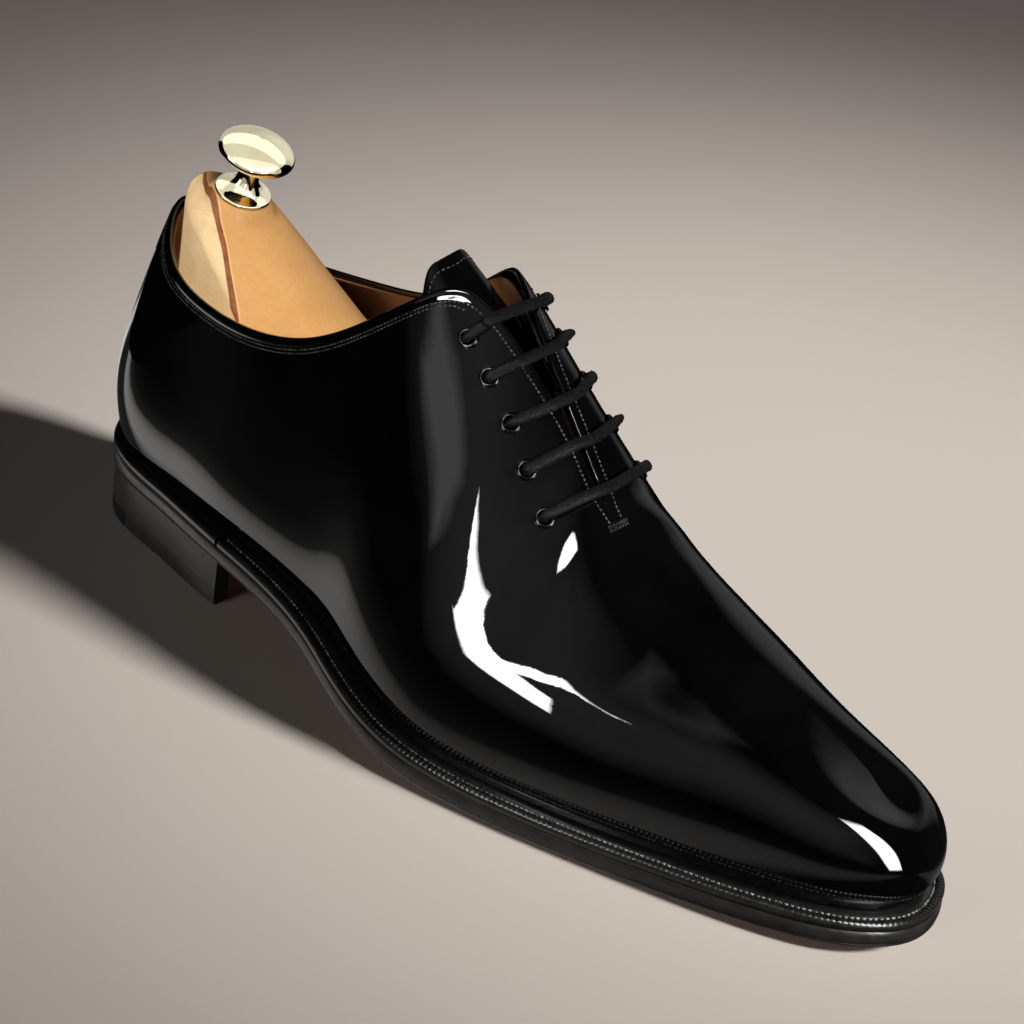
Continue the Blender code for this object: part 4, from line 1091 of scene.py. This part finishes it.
def build_tree(looks):
    pivot_x, _, pivot_z = HINGE
    outline = curve_through([(15.5, -3), (19, -7.5), (26, -11.5), (34, -14.5), (44, -17), (56, -19.5),
                             (70, -21.5), (84, -21.5), (98, -20), (110, -18), (118, -16.5)], 150)
    tip = [(118.4, -16.4), (120, -16), (122, -15.5), (123.4, -15), (124.5, -14.5), (126, -14)]
    lateral = np.vstack([outline, tip])
    medial = np.column_stack([lateral[:, 0], np.minimum(-lateral[:, 1], 17.5)])
    columns = 61  # points across the top
    bend = np.sin(np.linspace(-pi / 2, pi / 2, columns)) * 0.5 + 0.5
    x = np.repeat(lateral[:, :1], columns, 1)
    y = lateral[:, 1:] * (1 - bend) + medial[:, 1:] * bend
    round_z = np.sqrt(np.maximum(KNUCKLE_RADIUS**2 - (x - pivot_x) ** 2, 0.5))
    inside = tree_face_inside(x, y)
    edge = np.minimum(np.minimum(y - lateral[:, 1:], medial[:, 1:] - y), x - 15.4)
    corner = 1.6 * (1 - np.sqrt(1 - np.clip(1 - edge / 1.6, 0, 1) ** 2))
    outside = np.maximum(-inside - 0.6, 0)
    fall = corner + 0.55 * outside + 0.045 * outside**2
    behind = x <= pivot_x
    high = np.where(behind, tree_top(x, y) - fall * smooth(pivot_x - x, 0, 8), pivot_z + round_z)
    seat = knob_foot()[2] - 0.08 - (x - KNOB_X) * tan(radians(KNOB_LEAN))
    under_foot = 1 - smooth(np.hypot(x - KNOB_X, y), 7.8, 10.8)
    high = high + under_foot * np.maximum(seat - high, 0)
    low = np.where(behind, sole_z(x) + 11.8, pivot_z - round_z)
    walls = np.linspace(0, 1, 8)[1:-1]
    sections, marks, highlight_rims = [], [], []
    for i in range(len(x)):
        top = np.column_stack([x[i], y[i], high[i]])
        foot = np.column_stack([x[i], y[i], low[i]])[::-1]
        right = top[-1] * (1 - walls[:, None]) + foot[0] * walls[:, None]
        left = (top[0] * (1 - walls[:, None]) + foot[-1] * walls[:, None])[::-1]
        sections.append(np.vstack([top, right, foot, left]))
        below = np.full(len(sections[-1]) - columns, -9.0)
        marks.append(np.concatenate([inside[i], below]))
        # Points along the tan face's medial edge carry a painted highlight.
        chamfer = (medial[i, 1] - y[i] < 0.9) & (inside[i] > 0)
        highlight_rims.append(np.concatenate([chamfer, 0 * below]))
    points, faces = loft(sections)
    heel = piece("tree_heel_wood", points, faces, looks["faced_wood"], "tree_heel",
                 ["tree_heel_block"],
                 attributes={"inside": np.concatenate(marks), "chamfer": np.concatenate(highlight_rims)})

    shares = np.linspace(.06, .96, 32)
    loops = []
    for t in np.linspace(7.0, 16.7, 90):
        sides = surface_grid(np.array([t, STATIONS - t]), shares)[0]
        ring = np.vstack([sides[0], sides[1, ::-1]])
        half = np.ptp(ring[:, 1]) / 2
        middle = half + ring[:, 1].min()
        bottom, rise = ring[:, 2].min(), np.ptp(ring[:, 2])
        drop = 13.5 + float(11.0 * (1 - smooth(t, 12.5, 15)) + 7.0 * (1 - smooth(t, 8, 11)))
        ring[:, 0] -= 7.5 * float(smooth(t, 13.5, 17))
        ring[:, 1] = middle + (ring[:, 1] - middle) * max(half - 7.5, 0.6) / half
        ring[:, 2] = bottom + (ring[:, 2] - bottom) * (rise - drop) / rise
        ring[:, 2] = np.maximum(ring[:, 2], sole_z(ring[:, 0]) + 11.9)
        loops.append(ring)
    fore = piece("tree_fore_wood", *loft(loops), looks["wood"], "shoe", ["tree_forepart"])

    slot = bpy.data.meshes.new("guide")
    builder = bmesh.new()
    middle = Vector((122 - CENTRE_X, 3 - CENTRE_Y, pivot_z)) * MM
    bmesh.ops.create_cube(builder, size=MM, matrix=Matrix.Translation(middle)
                          @ Matrix.Diagonal((52, 5.4, 20, 1)))
    builder.to_mesh(slot)
    builder.free()
    lean = radians(KNOB_LEAN)
    axis = (sin(lean), 0, cos(lean))
    foot = knob_foot()
    cut(heel, [slot, cylinder(HINGE, (0, 1, 0), 2.4, -30, 30), cylinder(foot, axis, 2.6, -30, 5)])
    cut(fore, [slot])
    profile = [(0, 0), (7.9, 0), (8.2, .15), (8.3, .5), (8.1, .95), (7.4, 1.3), (6.3, 1.75), (5.2, 2.4),
               (4.3, 3.3), (3.6, 4.5), (3.15, 5.9), (2.95, 7.4), (3.05, 8.8), (3.5, 10.0),
               (4.6, 11.0), (6.4, 11.7), (8.4, 12.3), (10.0, 12.95), (10.9, 13.75), (11.2, 14.6),
               (11.0, 15.5), (10.3, 16.4), (9.0, 17.3), (7.2, 18.1), (5.0, 18.75), (2.6, 19.15),
               (0, 19.3)]
    turned = curve_through(profile[1:], 130)
    turned[:, 0] = np.maximum(turned[:, 0], 0)
    turned[-1, 0] = 0
    rows = [(0, 0)] + [tuple(row) for row in turned]
    lathe("tree_knob_brass", rows, foot, axis, looks["brass"], "tree_heel", ["tree_knob"], steps=96,
          sharp=60)


# ---------------------------------------------------------------- the frame's other nodes


NODE_LOOKS = {
    "heel_counter": "stiffener", "toe_puff": "stiffener", "facing_stay_lateral": "stiffener",
    "facing_stay_medial": "stiffener", "aglet_lateral": "eyelet", "aglet_medial": "eyelet",
    "insole": "insole", "cork_filler": "cork", "shank": "steel", "tree_hinge_plate": "steel",
    "tree_hinge_pin": "steel", "tree_knob_screw": "steel"}


def dress_nodes(looks):
    for name, look in NODE_LOOKS.items():
        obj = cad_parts[name]
        obj.data.materials.clear()
        obj.data.materials.append(looks[look])


# ---------------------------------------------------------------- floor, lights and camera


def direction(azimuth, elevation):
    a, e = radians(azimuth), radians(elevation)
    return Vector((sin(a) * cos(e), -cos(a) * cos(e), sin(e)))


def floor_look():
    look = Look("studio_floor", "floor")
    # Painted pool of light: the base colour runs from the bright tone near the pool's centre to the dim
    # tone farther out.
    gap = look.new("ShaderNodeVectorMath", operation="DISTANCE")
    look.link(look.stretched((1, 1, 1)), gap.inputs[0])
    gap.inputs[1].default_value = PAINTED_POOL_CENTRE
    fade = look.new("ShaderNodeMapRange", interpolation_type="SMOOTHSTEP")
    look.link(gap.outputs["Value"], fade.inputs["Value"])
    fade.inputs["From Min"].default_value, fade.inputs["From Max"].default_value = PAINTED_POOL_EDGES
    tone = look.mix(fade.outputs["Result"], FLOOR_PAINTED_POOL, FLOOR_PAINTED_FALLOFF)
    soft = look.ramp(look.noise(9, 3), (0.3, .985), (0.7, 1.0))
    look.set(base_color=look.mix(1.0, tone, soft, "MULTIPLY"),
             roughness=look.ramp(look.noise(40, 2), (0.3, .7), (0.7, .8)), specular_ior_level=0.0)
    return look.bumps((look.noise(1500, 2), 0.01), coat=False)


def painted_floor_reflection_look():
    """A glowing sheet, no lamp, that the patent mirrors as a painted reflection of lit floor: bright
    beside the heel, fading outward and to the toe, with painted contact shadow right under the sole.
    """
    look = Look("painted_floor_reflection", "floor")
    place = look.new("ShaderNodeSeparateXYZ")
    look.link(look.place, place.inputs[0])
    ahead = look.maths("ADD", look.maths("MULTIPLY", place.outputs["X"], 3.2), 0.5)
    off = look.maths("MULTIPLY", look.maths("ABSOLUTE", place.outputs["Y"], 0.0), 6.0)
    glow = look.mix(1.0, look.ramp(ahead, *NEAR_ALONG), look.ramp(off, *NEAR_ACROSS), "MULTIPLY")
    look.set(base_color=(0.0, 0.0, 0.0), specular_ior_level=0.0, emission_color=glow,
             emission_strength=1.0)
    return look.material


def glow_look(name, radiance, soft):
    """A light card, even in the middle and fading unevenly to nothing at its edges."""
    look = Look(name, "studio_light")
    spread = look.new("ShaderNodeTexCoord").outputs["Generated"]
    place = look.new("ShaderNodeSeparateXYZ")
    look.link(spread, place.inputs[0])
    off = [look.maths("ABSOLUTE", look.maths("SUBTRACT", place.outputs[axis], 0.5), 0.0)
           for axis in "XY"]
    edge = look.maths("MULTIPLY", look.maths("MAXIMUM", *off), 2.0)
    ragged = look.maths("MULTIPLY", look.noise(5, 4, 0.6, vector=spread), 0.45 * soft)
    glow = look.ramp(look.maths("ADD", edge, ragged), (1 - soft, 1.0), (1.0, 0.0))
    look.set(base_color=(0.0, 0.0, 0.0), specular_ior_level=0.0, emission_color=(1.0, 1.0, 1.0),
             emission_strength=radiance, alpha=glow)
    return look.material


def facing(aim, azimuth, elevation, away, roll):
    """Where a flat light stands to face a point from a direction."""
    toward = direction(azimuth, elevation)
    turn = toward.to_track_quat("Z", "Y").to_matrix().to_4x4()
    turn = turn @ Matrix.Rotation(radians(roll), 4, "Z")
    return Matrix.Translation(Vector(aim) + toward * away) @ turn


def card(name, aim, azimuth, elevation, away, size, radiance, roll, soft):
    """A light card that only glossy surfaces see, facing a point from a direction."""
    obj = patch(name, (0, 0, 0), size, glow_look(name, radiance, soft))
    obj.matrix_world = facing(aim, azimuth, elevation, away, roll)
    obj.visible_camera = obj.visible_diffuse = obj.visible_shadow = False


def patch(name, centre, size, look):
    """A flat stage surface."""
    mesh = bpy.data.meshes.new(name)
    x, y, z = centre
    w, d = size[0] / 2, size[1] / 2
    corners = [(x - w, y - d, z), (x + w, y - d, z), (x + w, y + d, z), (x - w, y + d, z)]
    mesh.from_pydata(corners, [], [(0, 1, 2, 3)])
    mesh.materials.append(look)
    obj = bpy.data.objects.new(name, mesh)
    bpy.context.scene.collection.objects.link(obj)
    return obj


def softbox(name, aim, azimuth, elevation, away, size, radiance, roll, only):
    """A rectangular light that only glossy surfaces see, facing a point from a direction."""
    light = bpy.data.lights.new(name, "AREA")
    light.shape = "RECTANGLE"
    light.size, light.size_y = size
    light.energy = radiance * pi * size[0] * size[1]
    obj = bpy.data.objects.new(name, light)
    bpy.context.scene.collection.objects.link(obj)
    obj.matrix_world = facing(aim, azimuth, elevation, away, roll)
    obj.visible_camera = obj.visible_diffuse = False
    obj.light_linking.receiver_collection = only


def sun(name, azimuth, elevation, strength, spread, colour, only, shaded_by=None):
    light = bpy.data.lights.new(name, "SUN")
    light.energy, light.angle, light.color = strength, radians(spread), colour
    obj = bpy.data.objects.new(name, light)
    bpy.context.scene.collection.objects.link(obj)
    obj.matrix_world = direction(azimuth, elevation).to_track_quat("Z", "Y").to_matrix().to_4x4()
    obj.visible_glossy = False
    obj.light_linking.receiver_collection = only
    obj.light_linking.blocker_collection = shaded_by


def group(name, *members, exclude=False):
    """A collection that light links name, of these pieces or of all but these."""
    made = bpy.data.collections.new(name)
    for member in members:
        made.objects.link(bpy.data.objects[member])
    if exclude:
        for held in made.collection_objects:
            held.light_linking.link_state = "EXCLUDE"
    return made


def build_stage():
    floor = patch("floor", (0, 0, 0), (8, 8), floor_look())
    floor.visible_glossy = False
    # A glowing sheet seen only in reflections: painted lit floor, with painted contact shadow under the
    # sole.
    near = patch("floor_beside_shoe", (-0.02, -0.03, -0.0005), NEAR_FLOOR_GLOW, painted_floor_reflection_look())
    near.visible_camera = near.visible_diffuse = near.visible_shadow = False
    for settings in CARDS:
        card(*settings)
    brass = group("brass_only", "tree_knob_brass")
    for settings in KNOB_LIGHTS:
        softbox(*settings, only=brass)
    all_but_wood = group("all_but_wood", "tree_heel_wood", exclude=True)
    wood = group("wood_only", "tree_heel_wood")
    for settings in SUNS:
        sun(*settings, only=all_but_wood)
    shading = group("wood_shading", "tree_heel_wood", "tree_knob_brass")
    for settings in WOOD_SUNS:
        sun(*settings, only=wood, shaded_by=shading)
    world = bpy.data.worlds.new("studio")
    world.use_nodes = True
    world.node_tree.nodes["Background"].inputs["Color"].default_value = WORLD
    world.cycles_visibility.diffuse = world.cycles_visibility.glossy = False
    bpy.context.scene.world = world
    bpy.context.scene.view_settings.view_transform = "Standard"


def build_camera():
    data = bpy.data.cameras.new("camera")
    camera = bpy.data.objects.new("camera", data)
    bpy.context.scene.collection.objects.link(camera)
    back = direction(CAMERA_AZIMUTH, CAMERA_ELEVATION)
    right = Vector((cos(radians(CAMERA_AZIMUTH)), sin(radians(CAMERA_AZIMUTH)), 0))
    up = back.cross(right)
    roll = radians(CAMERA_ROLL)
    axes = (cos(roll) * right + sin(roll) * up, cos(roll) * up - sin(roll) * right, back)
    place = Matrix(axes).transposed().to_4x4()
    place.translation = Vector(CAMERA_TARGET) + back * CAMERA_DISTANCE
    camera.matrix_world = place
    data.lens, data.sensor_width, data.clip_start = CAMERA_LENS, 36, 0.01
    bpy.context.scene.camera = camera


looks = make_looks()
build_upper(looks)
build_seams(looks)
build_eyelets(looks)
build_tongue(looks)
build_lace(looks)
build_welt(looks)
build_outsole(looks)
build_heel(looks)
build_inside(looks)
build_tree(looks)
dress_nodes(looks)
build_stage()
build_camera()
